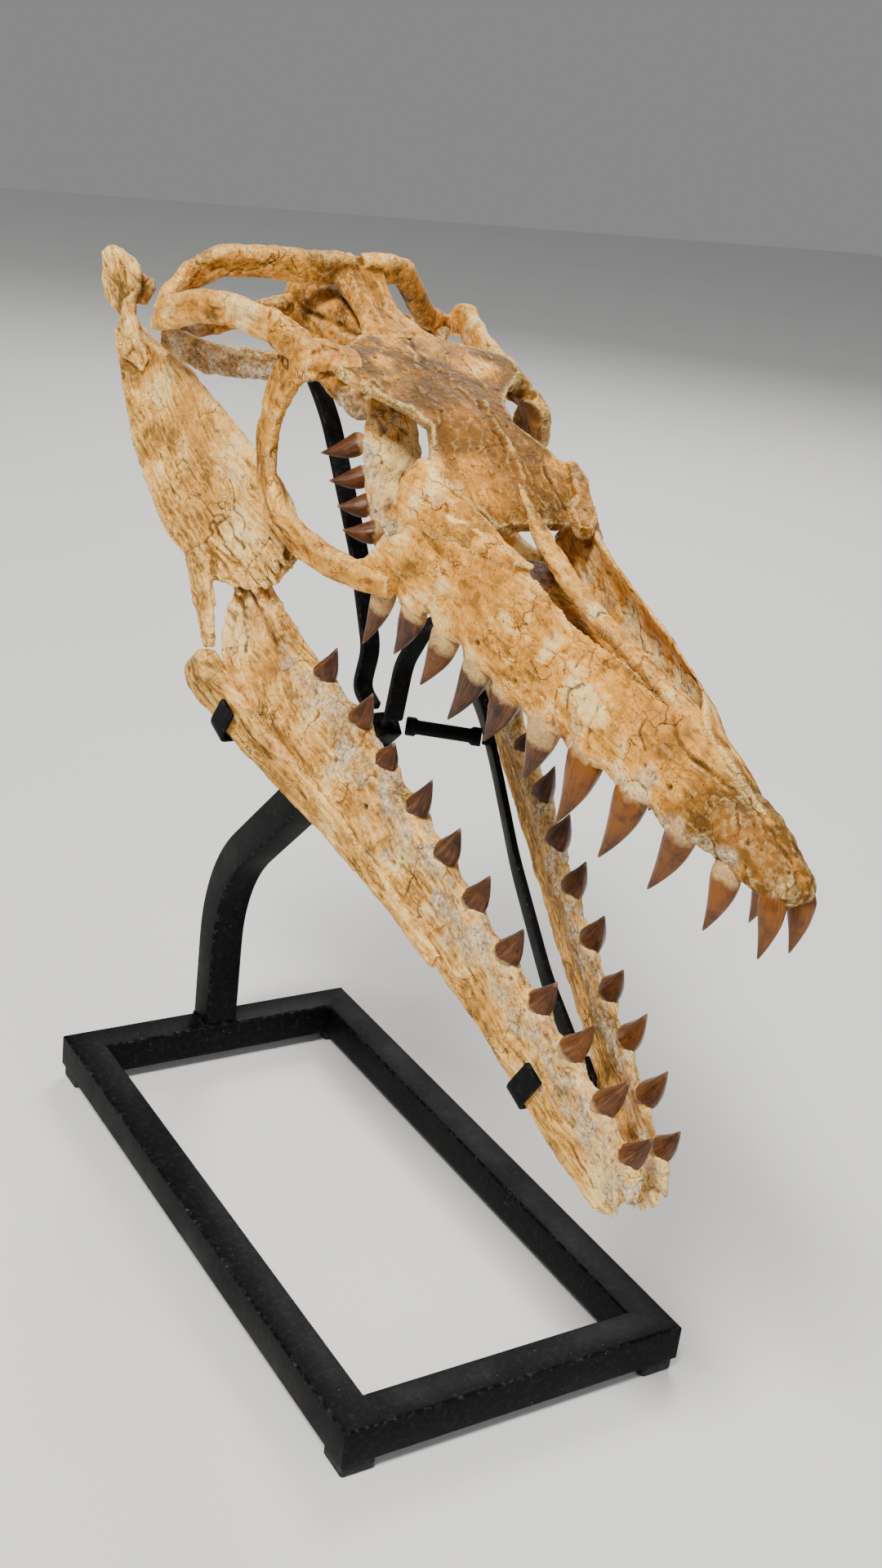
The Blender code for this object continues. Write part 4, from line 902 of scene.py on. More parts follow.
PTERYGOID = ((24, 392, -17, 10, 3.5), (25, 380, -24, 15, 4.5), (25.5, 367, -38, 17, 5),
             (26, 355, -54, 15, 5), (27, 341, -69, 11.5, 4.8), (31, 322, -78, 9, 4.5),
             (37, 300, -72, 8, 4.2), (43, 282, -62, 7, 4))
PALATINE = ((6, 92, -22, 4, 3), (8, 130, -28, 5.5, 3), (12, 175, -35, 7, 3), (19, 225, -43, 9, 3),
            (29, 265, -50, 11, 3), (38, 292, -58, 10, 3))


def margin_x(s):
    return MARGIN_START + MARGIN_SPREAD * s


def gum_line(s):
    return np.interp(s, *np.transpose(GUM_LINE))


def alike(places, reach, strength):
    """Spots of one reach and strength."""
    return [(*place, reach, strength) for place in places]


def places_of(rows):
    return [row[:3] for row in rows]


def on_axis(rows):
    """Rows (s, n, ...) placed in the skull's middle plane."""
    return [(0, *row) for row in rows]


def build_premaxilla():
    rows = [(0, s, (top + low) / 2, half, (top - low) / 2) for s, half, top, low in PREMAXILLA]
    bone(
        "premaxilla", 0, [bone_shaft(rows, squareness=2.7, around=56)], ((0, -2, -5), (0, 41, -8)),
        cracks=[(((0, -1, 0), (1, 16, 2), (-1, 42, 4)), 1.0, 0.6),
                (((-10, 6, 0), (-13, 20, 1), (-14, 40, 3)), 1.2, 0.8)],
        pits=alike(((-12, 15, -5), (-15, 23, -10), (-8, 3, -4), (12, 13, -5), (14, 24, -8), (-5, 9, 1),
                    (6, 17, 2), (-16, 36, -6), (-13, 8, -9), (-14, 30, -1), (-11, 24, 1)), 0.9, 1.1),
        swells=alike(((x, s, n) for s, n in ((4, -8), (32, -18)) for x in (-12, 12)), 9, 1.0),
        chalk=[(-15, 33, -14, 9, 0.55), (14, 30, -14, 9, 0.5)], stain=[(-9, 20, 0, 14, 0.6)],
        deep=[(-10, 22, -2, 15, 1.8), (-12, 8, -8, 9, 1.3)],
        pale=alike(((0, s, 3) for s in (4, 14, 26, 38)), 6, 3.0) + [(-15, 26, -14, 9, 2.2)],
        rough=2.0, fibre=0.6, lumps=1.3, tone=-1.9, seed=11,
    )


def maxilla_rings(side):
    """Rings of eight corners: up the outer side to the top edge, then down the inside to the ledge;
    the right top edge is worn lower along the nostril."""
    s, top_x, top_n, wall, ledge = np.transpose(MAXILLA)
    wear_and_highlight = (side < 0) * np.interp(s, (113, 140, 158, 175, 192, 210, 232), (0.5, 3.4, 6.0, 7.4, 6.6, 3.6, 0))
    top_x, top_n = top_x + 0.40 * wear_and_highlight, top_n - 0.85 * wear_and_highlight
    tuck = np.interp(s, (39, 58), (2.6, 0))
    low_x, low_n, top_n = margin_x(s) - tuck, gum_line(s) + tuck, top_n - 0.8 * tuck
    height = top_n - low_n
    closed = top_x < 1.0
    shoulder_x, shoulder_n = top_x + 0.66 * (low_x - top_x), low_n + 0.80 * height
    inner_x = np.where(closed, top_x, top_x + wall * 0.35)
    inner_n = top_n - wall
    corners = [
        (low_x - 1.0, low_n), (low_x + 1.2, low_n + 0.34 * height), (shoulder_x, shoulder_n),
        (top_x, top_n), (inner_x, inner_n),
        (np.maximum(shoulder_x - wall, 0.45 * low_x), np.minimum(shoulder_n - wall * 0.5, inner_n - 1)),
        (low_x - ledge, low_n + 0.30 * height), (low_x - ledge + 1.5, low_n + 1.5),
    ]
    return skull_half(side, np.stack([np.stack([x, s, n], -1) for x, n in corners], 1))


MAXILLA_CRACKS = (
    (((24, 160, 1.4), (30, 159, -6), (33, 158, -16), (36, 164, -23), (38, 172, -26), (38, 180, -25)),
     0.8, 0.9),
    (((35, 148, -26), (34, 151, -19), (31, 149, -11), (29, 139, -8), (31, 132, -16), (32, 129, -29)),
     0.8, 0.9),
    (((39, 176, -44), (39, 170, -37), (37, 164, -37), (36, 161, -48)), 0.8, 0.8),
    (((18, 133, 5.7), (13, 119, 7.2), (11.5, 105, 4.9), (12.4, 95, 1.2), (12.4, 85, 0.4), (8, 70, 3)),
     1.2, 1.6),
    (((26, 215, 1), (29, 190, -3), (27, 165, -1)), 0.7, 0.6),
    (((45, 262, -20), (44, 255, -32), (47, 250, -44)), 0.8, 0.8),
    (((20, 112, 2), (24, 108, -6), (25, 99, -10)), 0.7, 0.7),
)
MAXILLA_PITS = (
    (26, 66, -17), (29, 84, -22), (31, 104, -26), (34, 124, -31), (38, 150, -36), (42, 182, -40),
    (46, 214, -42), (24, 52, -15), (23, 77, -12), (27, 94, -14), (22, 60, -8), (28, 110, -17),
)
MAXILLA_TONGUE = ((49, 262, -45, 4.5, 20), (53.5, 284, -50, 4.5, 20), (57, 296, -58, 4.2, 13),
                  (60, 305, -67, 4, 7), (62.5, 315, -75, 3.6, 4.6))
NOSTRIL_SPLINTER = ((30.5, 228, -3.5, 2.8, 2.4), (28.5, 223, 0, 2.4, 1.8), (27, 219, 2.6, 1.2, 1.2))
MAXILLA_INSIDE = ((18, 128, -8), (20, 145, -10), (24, 167, -13), (28, 196, -17), (32, 222, -22),
                  (38, 250, -28))


def build_maxilla(side):
    def at_gum(s, shift, rise):
        return margin_x(s) + shift, s, gum_line(s) + rise

    teeth = [row[0] for row in UPPER_TEETH[2:]]
    swells = alike((at_gum(s, -1, 1) for s in teeth), 7.5, 2.8)
    swells += alike((at_gum((s + after) / 2, -4, -1) for s, after in zip(teeth, teeth[1:])), 6.5, -2.4)
    pale = [(31, 141, -20, 15, 1.2), (46, 258, -12, 16, 0.9), (36, 176, -12, 8, 1.0),
            (25, 96, -20, 12, 0.8)]
    chalk = alike((at_gum(s, 1, 2) for s in range(46, 150, 17)), 9, 0.8)
    chalk += [(25, 89, -18, 8, 0.75), (33, 140, -27, 8, 0.7)]
    shells = [skin(maxilla_rings(side), 220, 110), bone_shaft(MAXILLA_TONGUE, side, around=40)]
    if side > 0:
        chalk += alike(MAXILLA_INSIDE, 13, 0.42)
        pale += alike(MAXILLA_INSIDE, 15, 1.5)
        # Painted highlight of the rim light along the left maxilla's upper outer edge.
        pale += alike(((15, 52, 1), (15, 66, 1), (14, 80, 1), (13, 94, 1), (12, 108, 1)), 7, 2.0)
    else:
        shells.append(bone_shaft(NOSTRIL_SPLINTER, side, around=16, step=1))
    bone(
        "maxilla", side, shells, ((12, 40, -10), (30, 160, -20), (52, 292, -36)), MAXILLA_CRACKS,
        alike(MAXILLA_PITS, 1.4, 1.5), swells, chalk, pale=pale,
        stain=[(42, 240, -12, 22, 0.9), (20, 108, 0, 16, 0.9), (34, 205, -8, 26, 0.6),
               (44, 225, -38, 20, 0.5)],
        deep=[(16, 44, -2, 28, 1.9), (15, 72, 0, 24, 0.9), (40, 225, -8, 16, 0.4)],
        tone=0.15 if side < 0 else -0.1, seed=23 + side, rough=1.1,
    )


def build_nasal_bar():
    """The slim bar between the nostrils, cracked through and glued."""
    rows = [(0, s, n, width * 0.9, height) for s, n, width, height in NASAL_BAR]
    bone(
        "internarial_bar", 0, [bone_shaft(rows, squareness=3.0)], ((0, 90, 4), (0, 145, -1), (0, 264, -6)),
        cracks=[(((-8, 184, -3), (0, 188, -1), (8, 186, -4)), 1.1, 1.2),
                (((2, 95, 8), (1, 150, 3), (2, 240, -3)), 0.8, 0.5)],
        pale=[(-3, 190, -3, 6, 1.8), (0, 120, 6, 30, 0.5), (0, 215, -4, 22, 0.4)],
        fibre=1.2, lumps=0.6, tone=-0.25, seed=37,
    )


FRONTAL_RIDGE = ((4, 352, 9.5), (3, 340, 10), (2.4, 332, 10), (2.6, 319, 8.4), (1, 302, 6), (1, 290, 3.6))
FRONTAL_CRACKS = (
    (FRONTAL_RIDGE, 0.8, 0.9), (np.array(FRONTAL_RIDGE) + (4.5, 0, -0.3), 1.9, -1.6),
    (((4.5, 440, -1), (-1, 418, 3), (-4, 402, 4.2), (-8, 388, 5)), 1.5, 0.9),
    (((-1, 428, 3), (-8, 405, 5), (-13, 390, 6)), 1.6, -0.8),
    (((-40, 281, -2), (-30, 274, 0), (-25, 262, -5)), 1.1, 0.8),
    (((24, 300, 4), (22, 284, 1), (28, 268, -4)), 1.3, 1.1),
    (((-28, 330, 8), (-20, 350, 9.5), (-24, 372, 7)), 0.8, 0.5),
    (((12, 390, 7), (20, 372, 7.5), (22, 350, 8)), 0.9, 0.6),
)


def build_frontal():
    """The broad roof between the eyes: rings arched across, with a furrow along the middle and a notch
    over the left eye."""
    rings = []
    steps = np.array([-1.0, -0.72, -0.3, 0.3, 0.72, 1.0])
    for s, half, top, fall, thick in FRONTAL:
        edge = thick * 0.5 * np.abs(steps) ** 6
        notch = np.interp(s, (303, 325, 345, 360, 375, 392), (0, 5, 13, 15, 11, 0))
        across = (half - notch * (steps > 0)) * steps
        upper = np.stack([across, np.full(6, s), top - fall * steps**2 - 0.7 * edge], -1)
        lower = np.stack([across, np.full(6, s), top - 2 * thick - fall * steps**2 + 2.2 * edge], -1)
        rings.append(np.concatenate([upper, lower[::-1]]))
    insets = {-1: [3.0] * 7, 1: [3.0, 8, 15, 17, 13, 3, 3]}
    rims = []
    for side, row in insets.items():
        rim = [(side * (half - inset), s, top - fall)
               for (s, half, top, fall, _), inset in zip(FRONTAL[2:9], row)]
        rims.append((rim, 1.5, -1.0))
    bone(
        "frontal", 0, [skin(skull(np.array(rings)), 150, 130)], ((0, 262, 0), (0, 431, 0)),
        [*FRONTAL_CRACKS, *rims],
        alike(((-14, 312, 7), (-22, 300, 4), (14, 330, 9), (-10, 388, 6.5), (24, 392, 5), (-30, 380, 6),
               (8, 404, 4), (-21, 344, 9), (31, 371, 6), (-34, 402, 3.5)), 1.0, 1.0),
        [(-2, 350, 10, 24, 0.9), (-34, 296, 2, 14, 0.8), (-30, 372, 5, 18, -1.2), (28, 380, 5, 16, -1.0),
         (-12, 390, 7, 12, 0.9), (14, 318, 7, 9, -0.7)],
        stain=[(-26, 288, 0, 26, 1.0), (0, 330, 9, 22, 0.6), (20, 290, 0, 14, 0.5)],
        pale=[(26, 392, 4, 17, 2.4), (-42, 305, 2, 8, 1.6), (-30, 400, 4, 10, 1.6), (-27, 285, 0, 17, 1.5),
              (34, 300, 3, 11, 1.2), (-8, 412, 3, 9, 1.4),
              *alike(((x, 424, 2) for x in (-34, -12, 12, 34)), 13, 1.3)],
        rough=1.0, fibre=0.6, lumps=0.9, tone=-1.5, seed=41,
    )


PREFRONTAL_KNOB = ((37, 276, -2, 6, 4), (32, 267, -2, 7.5, 5), (28.5, 259, -2.5, 7.5, 5.5),
                   (27, 252, -4, 4.5, 4.5))
PREFRONTAL_RIM = ((46, 306, 0.5, 3.5, 3.0), (43, 292, 0.8, 5, 3.4), (39, 279, 0.2, 5.5, 3.6),
                  (35, 268, -0.8, 5, 3.4))


def build_prefrontal(side):
    """The sheet in front of the eye, between frontal and maxilla; the left one ends in a rough knob
    that hangs over the nostril."""
    left = side > 0
    rings = [[(x, s, n) for x, n in corners] for s, *corners in PREFRONTAL[2 if left else 0:]]
    shells = [skin(skull_half(side, rings), 70, 80)]
    swells, pits = [(53, 297, -3, 8, 0.8), (46, 284, -5, 8, -1.2)], []
    if left:
        shells += [bone_shaft(PREFRONTAL_KNOB, around=32), bone_shaft(PREFRONTAL_RIM, around=24)]
        swells += [(40, 284, -1, 5, -0.9), (33, 268, 1, 4, -1.2), (29, 257, 2, 4, 1.2)]
        pits = alike(((38, 290, 0), (31, 264, 2), (27, 252, 2)), 1.5, 0.9)
    bone(
        "prefrontal", side, shells, ((26, 229, -4), (51, 311, -10)), (), pits, swells,
        stain=[(34, 268, -2, 18, 1.0 if left else 0.25)],
        pale=[(48, 288, -6, 9, 1.1), (42, 300, 0, 8, 0.9 - 0.5 * side)], deep=[(40, 262, -6, 12, 0.5)],
        tone=-1.3 if left else 0.0, rough=2.4 if left else 1.3, seed=53 + side,
    )


def build_postorbital(side):
    """The bone behind the eye: an inner wing, a bar down to the cheek and the front of the arch."""
    shells = [
        bone_shaft(POSTORBITAL_WING[side], side, squareness=3.0),
        bone_shaft(POSTORBITAL_BAR[side], side, hint=SIDEWAYS, squareness=3.2),
        bone_shaft(ARCADE_FRONT[side], side),
    ]
    spine = places_of(POSTORBITAL_BAR[side])
    x, s, n = spine[1]
    # Painted shade on the inner face of the left bar, which is seen through the left eye.
    shaded_inside = alike(((64, 384, -18), (64, 374, -22), (64, 390, -36)), 17, 3.0) if side > 0 else ()
    bone(
        "postorbitofrontal", side, shells, spine,
        cracks=[(((x + 4, s + 3, n + 8), (x + 5, s + 2, n - 10)), 1.4, -1.0),
                (((x - 20, s - 5, n + 13), (x - 8, s - 2, n + 14)), 1.0, 0.9)],
        pits=[(x, s - 4, n + 12, 1.1, 1.2)], swells=[(x, s, n + 10, 9, 1.2)], deep=shaded_inside,
        stain=[(x, s, n, 18, 0.35), (52, 404, 2, 12, 0.9)], rough=1.3, tone=0.2, seed=61 + side,
    )


def build_jugal(side):
    rows = JUGAL[side]
    spine = np.array(places_of(rows))
    bone(
        "jugal", side, [bone_shaft(rows, side, hint=SIDEWAYS, squareness=3.0)], spine,
        cracks=[(spine[2:] + (4, 3, 3), 1.8, -0.8), (spine[1:5] + (4, -2, -2), 0.8, 0.7)],
        pale=[(*spine[3], 16, 0.8), (*spine[6], 18, 0.6)], stain=[(*spine[5], 9, 0.7)],
        lumps=0.8, seed=71 + side,
    )


def build_squamosal(side):
    rows = ARCADE_REAR[side]
    spine = np.array(places_of(rows))
    bone(
        "squamosal", side, [bone_shaft(rows, side)], spine,
        cracks=[(spine[:4] + (4, 0, 6), 1.6, -0.7), (spine[1:4] + (5, 2, 0), 0.8, 0.6)],
        pits=[(*spine[-1], 2.2, 1.2)], pale=[(*spine[-1], 10, 0.9), (*spine[1], 14, 0.4)],
        stain=[(*spine[2], 14, 0.4)], lumps=0.9, tone=0.2, seed=81 + side,
    )


def build_parietal():
    """The narrow roof table behind the eyes and its two hind wings."""
    shells = [bone_shaft(on_axis(PARIETAL), squareness=3.0, around=56)]
    shells += [bone_shaft(PARIETAL_WING[side], side) for side in SIDES]
    cracks = [(((5, 444, 0), (3, 462, 0.5), (8, 486, 2)), 1.5, -0.9),
              (((-10, 440, -1), (-6, 462, 0), (-10, 484, 1)), 1.5, -0.8),
              (((-48, 508, 6), (-60, 513, 3), (-78, 518, -2)), 0.9, 0.7)]
    cracks += [(((side * 22, 500, 9), (side * 50, 509, 6)), 1.5, -0.7) for side in SIDES]
    bone(
        "parietal", 0, shells, ((0, 431, -4), (0, 514, -3)), cracks,
        swells=[(0, 462, 0, 9, -1.3), (-20, 502, 8, 10, 1.2), (-78, 519, -4, 8, 1.0)],
        stain=[(-14, 496, 4, 16, 0.6), (0, 448, 0, 16, 0.6), (-60, 512, 4, 16, 0.3)],
        rough=1.2, tone=-0.1, seed=91,
    )


BRAINCASE_FLOOR = ((432, -47, 7, 6), (446, -59, 9, 8.5), (466, -61, 12, 9.5), (490, -62, 14, 10),
                   (508, -62, 13, 8))


def build_braincase():
    """The box under the roof with its condyle, side struts and hind processes."""
    shells = [bone_shaft(on_axis(BRAINCASE), squareness=2.6, around=56)]
    for side in SIDES:
        knob_x, knob_s, knob_n = ARCADE_REAR[side][-1][:3]
        far = (knob_x * 0.93, knob_s + 2, knob_n - 6)
        strut = ((10, 462, -38, 3.5, 8), (34, 468, -47, 3.4, 9.5), (58, 476, -51, 3.6, 10.5),
                 (far[0] * 0.84, 500, far[2] + 2, 4.2, 10), (*far, 5, 7))
        process = ((10, 530, -42, 4.5, 9), (44, 531, -50, 4.0, 8), (*far, 5, 6.5))
        shells += [bone_shaft(rows, side, around=28) for rows in (strut, process)]
    shells.append(bone_shaft(on_axis(BRAINCASE_FLOOR)))
    chalk = [(side * x, s, n) for side in SIDES
             for x, s, n in ((86, 506, -58), (66, 488, -60), (44, 474, -58), (8, 450, -70))]
    bone(
        "braincase", 0, shells, ((0, 444, -30), (0, 560, -48)),
        cracks=[(((side * 9, 462, -20), (side * 20, 500, -30), (side * 18, 535, -38)), 2.0, 1.5)
                for side in SIDES],
        pits=alike(((-14, 480, -24), (12, 484, -26), (-19, 512, -30), (18, 516, -34), (-10, 540, -40)),
                   2.4, 2.2),
        swells=[(0, 560, -49, 7, 0.6), *alike(((-20, 500, -48), (20, 500, -48)), 9, -1.6)],
        chalk=alike(chalk, 18, 1.2), stain=[(0, 500, -30, 30, 0.5)],
        rough=2.2, lumps=1.6, tone=-0.6, seed=103,
    )


PTERYGOID_FACING = (0.49, -0.70, 0.52)
PTERYGOID_CHALK = ((39.5, 374, -41), (39.5, 365, -48), (38.5, 355, -55), (36.5, 346, -61), (34, 340, -65),
                   (31, 332, -68), (28, 383, -24))


def build_pterygoid(side):
    x, y, z = PTERYGOID_FACING
    feet = [foot for _, foot in PTERYGOID_TEETH]
    gums = [(foot[0], *tip[1:]) for tip, foot in PTERYGOID_TEETH]
    bone(
        "pterygoid", side, [bone_shaft(PTERYGOID, side, hint=(side * x, y, z), squareness=2.2)],
        places_of(PTERYGOID), swells=alike(((x - 2, s, n) for x, s, n in feet), 6, 1.6),
        chalk=alike(gums, 10, 0.85) + alike(PTERYGOID_CHALK, 8, 1.3), pale=[(24, 360, -46, 24, 1.3)],
        rough=2.4, lumps=1.6, fibre=0.5, tone=0.3, seed=113 + side,
    )


def build_palatine(side):
    spine = places_of(PALATINE)
    bone("palatine", side, [bone_shaft(PALATINE, side, around=28)], spine,
         chalk=[(*spine[3], 12, 0.4)], rough=1.3, tone=-0.9, seed=121 + side)


# ---- lower jaws ------------------------------------------------------------------------------
# along and up of the top edge, along and up of the low edge, flare below, width above, width below
DENTARY = (
    (-16, -29, -15, -45, 1, 7, 5), (-9, -23.5, -13, -57, 1, 9, 6.5), (14, -18, 16, -66, 1, 9.5, 7.5),
    (52, -17, 49, -66, 2, 10, 8), (100, -18.5, 99, -63.5, 4, 11, 8), (170, -20.5, 170, -67, 8, 13, 8),
    (238, -20, 236, -66, 16, 15, 9), (292, -22, 292, -68, 20, 16, 9), (335, -28, 331, -71, 22.5, 15, 8),
    (372, -29.5, 368, -73, 22.5, 13, 8), (390, -29.5, 388, -71.5, 18.5, 12, 8),
    (404, -29.5, 401, -66, 13.5, 11, 8), (412, -32, 411, -53, 10, 9, 6.5), (415, -36, 414, -47, 8, 7, 5),
)
SPLENIAL = ((150, -62, 7, 3.5, 6), (200, -64, 11, 4.5, 8), (250, -67.5, 17, 5, 10.5),
            (295, -74, 22, 5, 12), (335, -79.5, 27, 5, 12.5), (360, -82, 29.5, 5.5, 13),
            (372, -83, 30, 8, 14.5), (383, -82.5, 30, 8.6, 15), (390, -81.5, 30, 7.6, 13),
            (393, -81, 30, 5.5, 9))
SURANGULAR = (
    (-66, -1, -68, -19, 8, 6, 6), (-58, 10, -56, -34, 13, 8, 7), (-44, 20, -44, -42, 16, 9, 7),
    (-26, 24, -24, -50, 17, 10, 7), (5, 23.5, 6, -54.5, 17, 11, 7), (46, 21.5, 42, -47.5, 15, 11, 7),
    (88, 19.5, 72, -36, 12, 11, 8), (103, 15, 97, -23, 10, 11, 9), (122, 10, 119, -8, 8, 10, 9),
    (134, 9, 132, 2, 7, 9, 9),
)
SPUR = ((-14, -45, 17, 3.6, 14), (-32, -53, 19.5, 3.6, 13.5), (-46, -60.5, 21.5, 3.4, 11),
        (-58, -69, 23.5, 3, 8.4), (-65, -75, 24, 2.6, 4.5))
ARTICULAR = ((96, 4, 9, 1.6, 5), (116, 5, 8, 4.6, 10.5), (131, 9, 4, 4.8, 12), (142, 14.5, 0.5, 4.4, 15.5),
             (152, 20, 0, 4, 20.5), (162, 24, 0, 4, 16.5), (170, 27, 0, 3.6, 10), (177, 28.5, 0, 2.6, 5))
JAW_KNOB = ((137, 19, -3, 3, 5), (141, 24, -5, 4.4, 7), (143, 29, -7, 4.8, 7), (145, 33.5, -8, 3, 4.6))


def plate_rings(frame, side, stations, pinch=0.0):
    """Rings of ten corners down the outer face of a jaw plate and up its inner face; the outer face is
    drawn in by pinch, which fades along the jaw."""
    a0, h0, a1, h1, flare, w0, w1 = (column[:, None] for column in np.transpose(stations).astype(float))
    depth = np.array([[0.0, 0.16, 0.50, 0.84, 1.0]])
    width = np.concatenate([w0 * 0.62, w0, (w0 + w1) * 0.44, w1, w1 * 0.45], 1)
    a, h = a0 + (a1 - a0) * depth, h0 + (h1 - h0) * depth
    out = flare * depth**1.2
    pull = pinch * np.clip(1 - a0 / LEFT_TIP_REACH, 0, 1) * width / w0
    outer = frame(side, np.stack([a, h, out + width / 2 - pull], -1))
    inner = frame(side, np.stack([a, h, out - width / 2], -1))
    return np.concatenate([outer, inner[:, ::-1]], 1)


def jaw_top(a):
    """Height of the dentary's top edge."""
    return np.interp(a, *np.transpose(DENTARY)[:2])


def step_along(side):
    """One millimetre along a front jaw."""
    return jaw(side, (1, 0, 0)) - jaw(side, (0, 0, 0))


def sliver(side, frame, row, offsets, share, end=(0.9, 0.9), around=14, step=1.0):
    """A splinter from (along, up, out, half sizes): three stations set off from its place, the second
    a little smaller and the last with the end sizes."""
    *place, across, rise = row
    sizes = ((across, rise), (across * 0.9, rise * share), end)
    rows = [(*np.add(place, offset), *size) for offset, size in zip(offsets, sizes)]
    return bone_shaft(rows, side, frame, around=around, step=step)


DENTARY_SPINE = ((-16, -40, 0), (150, -45, 6), (290, -46, 14), (413, -46, 12))
DENTARY_CRACKS = (
    (((330, -52, 20), (280, -50, 19), (228, -47, 15), (180, -48, 11)), 1.1, 0.8),
    (((300, -60, 21), (250, -56, 19), (200, -57, 14)), 0.9, 0.7),
    (((200, -40, 9), (160, -42, 9), (118, -44, 7)), 0.9, 0.6),
    (((375, -40, 16), (352, -46, 17), (335, -44, 15)), 1.2, 1.0),
    (((45, -56, 6), (25, -50, 5), (0, -52, 4)), 1.0, 0.8),
    (((414, -34, 6), (398, -37, 8), (384, -36, 10), (362, -39, 10)), 1.7, 1.0),
    (((410, -31, 5), (390, -33, 7), (366, -33, 8)), 2.2, -1.2),
    (((412, -42, 8.5), (398, -49, 12), (386, -51, 14.5), (374, -57, 17)), 1.3, 0.8),
    (((404, -50, 12), (388, -57, 16), (372, -62, 19)), 2.2, -1.0),
)
# chips at the tip and at the broken hind end: along, up, out and half sizes
TIP_CHIPS = ((-17, -30, 1, 2.2, 3.0), (-18, -38, -1, 2.0, 2.4), (-16, -48, 2, 1.8, 2.6),
             (-14, -55, 0, 2.0, 2.2), (-17, -34, 4, 1.6, 2.2))
HIND_CHIPS = ((414, -36, 10, 3, 2.6), (413, -43, 10, 2.6, 2.4), (409, -53, 11, 3, 2.8),
              (404, -60, 13, 2.6, 2.6), (399, -66, 15, 2.6, 2.2))


def build_dentary(side):
    gums = [(row[0], jaw_top(row[0])) for row in LOWER_TEETH]
    gaps = [(a + after) / 2 for (a, _), (after, _) in zip(gums, gums[1:])]
    swells = alike(((a - 2, gum - 3, 4) for a, gum in gums), 7.5, 1.3)
    swells += alike(((a - 2, gum - 3, -4) for a, gum in gums), 7.5, 1.2)
    swells += alike(((a, jaw_top(a) + 1, 0) for a in gaps), 6.5, -2.0)
    waves = [(a, jaw_top(a), 5 * math.sin(a * 0.11)) for a in range(-12, 345, 15)]
    chalk = alike(((a, top - 9 + wave, 5) for a, top, wave in waves), 12, 0.92)
    chalk += alike(((a, top - 8 - wave, -6) for a, top, wave in waves), 12, 0.75)
    chalk += alike(((a, -36 + 3 * math.sin(a), 6) for a in (2, 20, 44, 95, 140, 262)), 11, 0.75)
    chalk += alike(((a, -47, 5 + 0.035 * a) for a in (60, 150, 215, 275)), 9, 0.6)
    chalk += [(346, -38, 10, 10, 0.6), (356, -36, 9, 6, 0.5)]
    pits = alike(((a, h, 5 + a * 0.03) for a, h in (
        (30.5, -41), (62, -38), (98, -39), (131, -38), (168, -41), (205, -40), (243, -41), (10, -35),
        (278, -42),
    )), 1.5, 2.2)
    pits += alike(((a, jaw_top(a) - 6 - 4 * math.sin(a), 4.5) for a in range(-6, 330, 9)), 1.1, 1.3)
    pits += [(414, -34, 12, 4.5, 3.5), (399, -27, 13, 3.5, 2.5), (411, -52, 8, 4, 3),
             (388, -28, 16, 2.5, 1.6)]
    stain = alike(((a, -56, 12) for a in (110, 180, 240, 300)), 16, 0.8)
    stain += [(352, -44, 16, 15, 0.9), (165, -50, 9, 12, 1.0), (20, -52, 5, 10, 0.8),
              (386, -42, 10, 13, 1.3)]
    pale = alike(((a, -44 + 4 * math.sin(a), 5 + 0.035 * a) for a in range(0, 340, 34)), 12, 1.3)
    pale += [(397, -57, 15, 13, 2.2), (404, -38, 8, 6, 1.4)]
    pinch, lean = (LEFT_TIP_PINCH, -2.5) if side > 0 else (0.0, 0.0)
    shells = [skin(plate_rings(jaw, side, DENTARY, pinch), 300, 90)]
    for row in TIP_CHIPS:
        shells.append(sliver(side, jaw, row, ((4, 0, lean), (0, -1, lean), (-2.6, -2, lean)), 0.8))
    for row in HIND_CHIPS:
        shells.append(sliver(side, jaw, row, ((-8, 1, 0), (0, 0, 0), (2.6, -0.5, 0)), 0.9))
    bone(
        "dentary", side, shells, DENTARY_SPINE, DENTARY_CRACKS, pits, swells, chalk, stain, pale,
        alike(((a, -50 - 0.04 * a, 5 + 0.035 * a) for a in (40, 118, 190, 236, 310)), 16, 0.7),
        frame=jaw, rough=1.7, fibre=1.9, tone=-0.15, seed=131 + side,
    )


def build_splenial(side):
    spine = places_of(SPLENIAL)
    bone(
        "splenial", side, [bone_shaft(SPLENIAL, side, jaw)], spine,
        cracks=[(((380, -76, 36), (330, -74, 31), (270, -68, 23)), 0.9, 0.7)],
        pits=[(386, -84, 37, 2.0, 1.4)],
        chalk=[(*spine[-1], 11, 0.7)], pale=[(*spine[5], 14, 0.7)], stain=[(*spine[3], 22, 0.6)],
        frame=jaw, fibre=1.4, seed=141 + side,
    )


# height, reach ahead of the plate's front edge, out and half sizes
SPLINTERS = ((17, 2, 6, 2.6, 2.4), (12, 4, 8, 2.2, 3.2), (6, 2.5, 9, 3.0, 2.2), (0, 5.5, 9, 2.2, 3.0),
             (-7, 2.5, 10, 3.0, 3.4), (-13, 6, 11, 2.4, 2.0), (-19, 3, 12, 3.0, 3.2),
             (-27, 5, 13, 2.4, 2.6))
# start and end along the plate, height at each
PLATE_CRACKS = ((-60, 10, 2, 6), (-50, 40, 12, 14), (-55, -5, -8, -4), (-40, 70, -16, -10),
                (-52, 0, -24, -22), (-30, 50, -34, -30), (-20, 30, 20, 19), (10, 95, 6, 4),
                (-62, -20, -1, 0), (-45, -12, 7, 9))


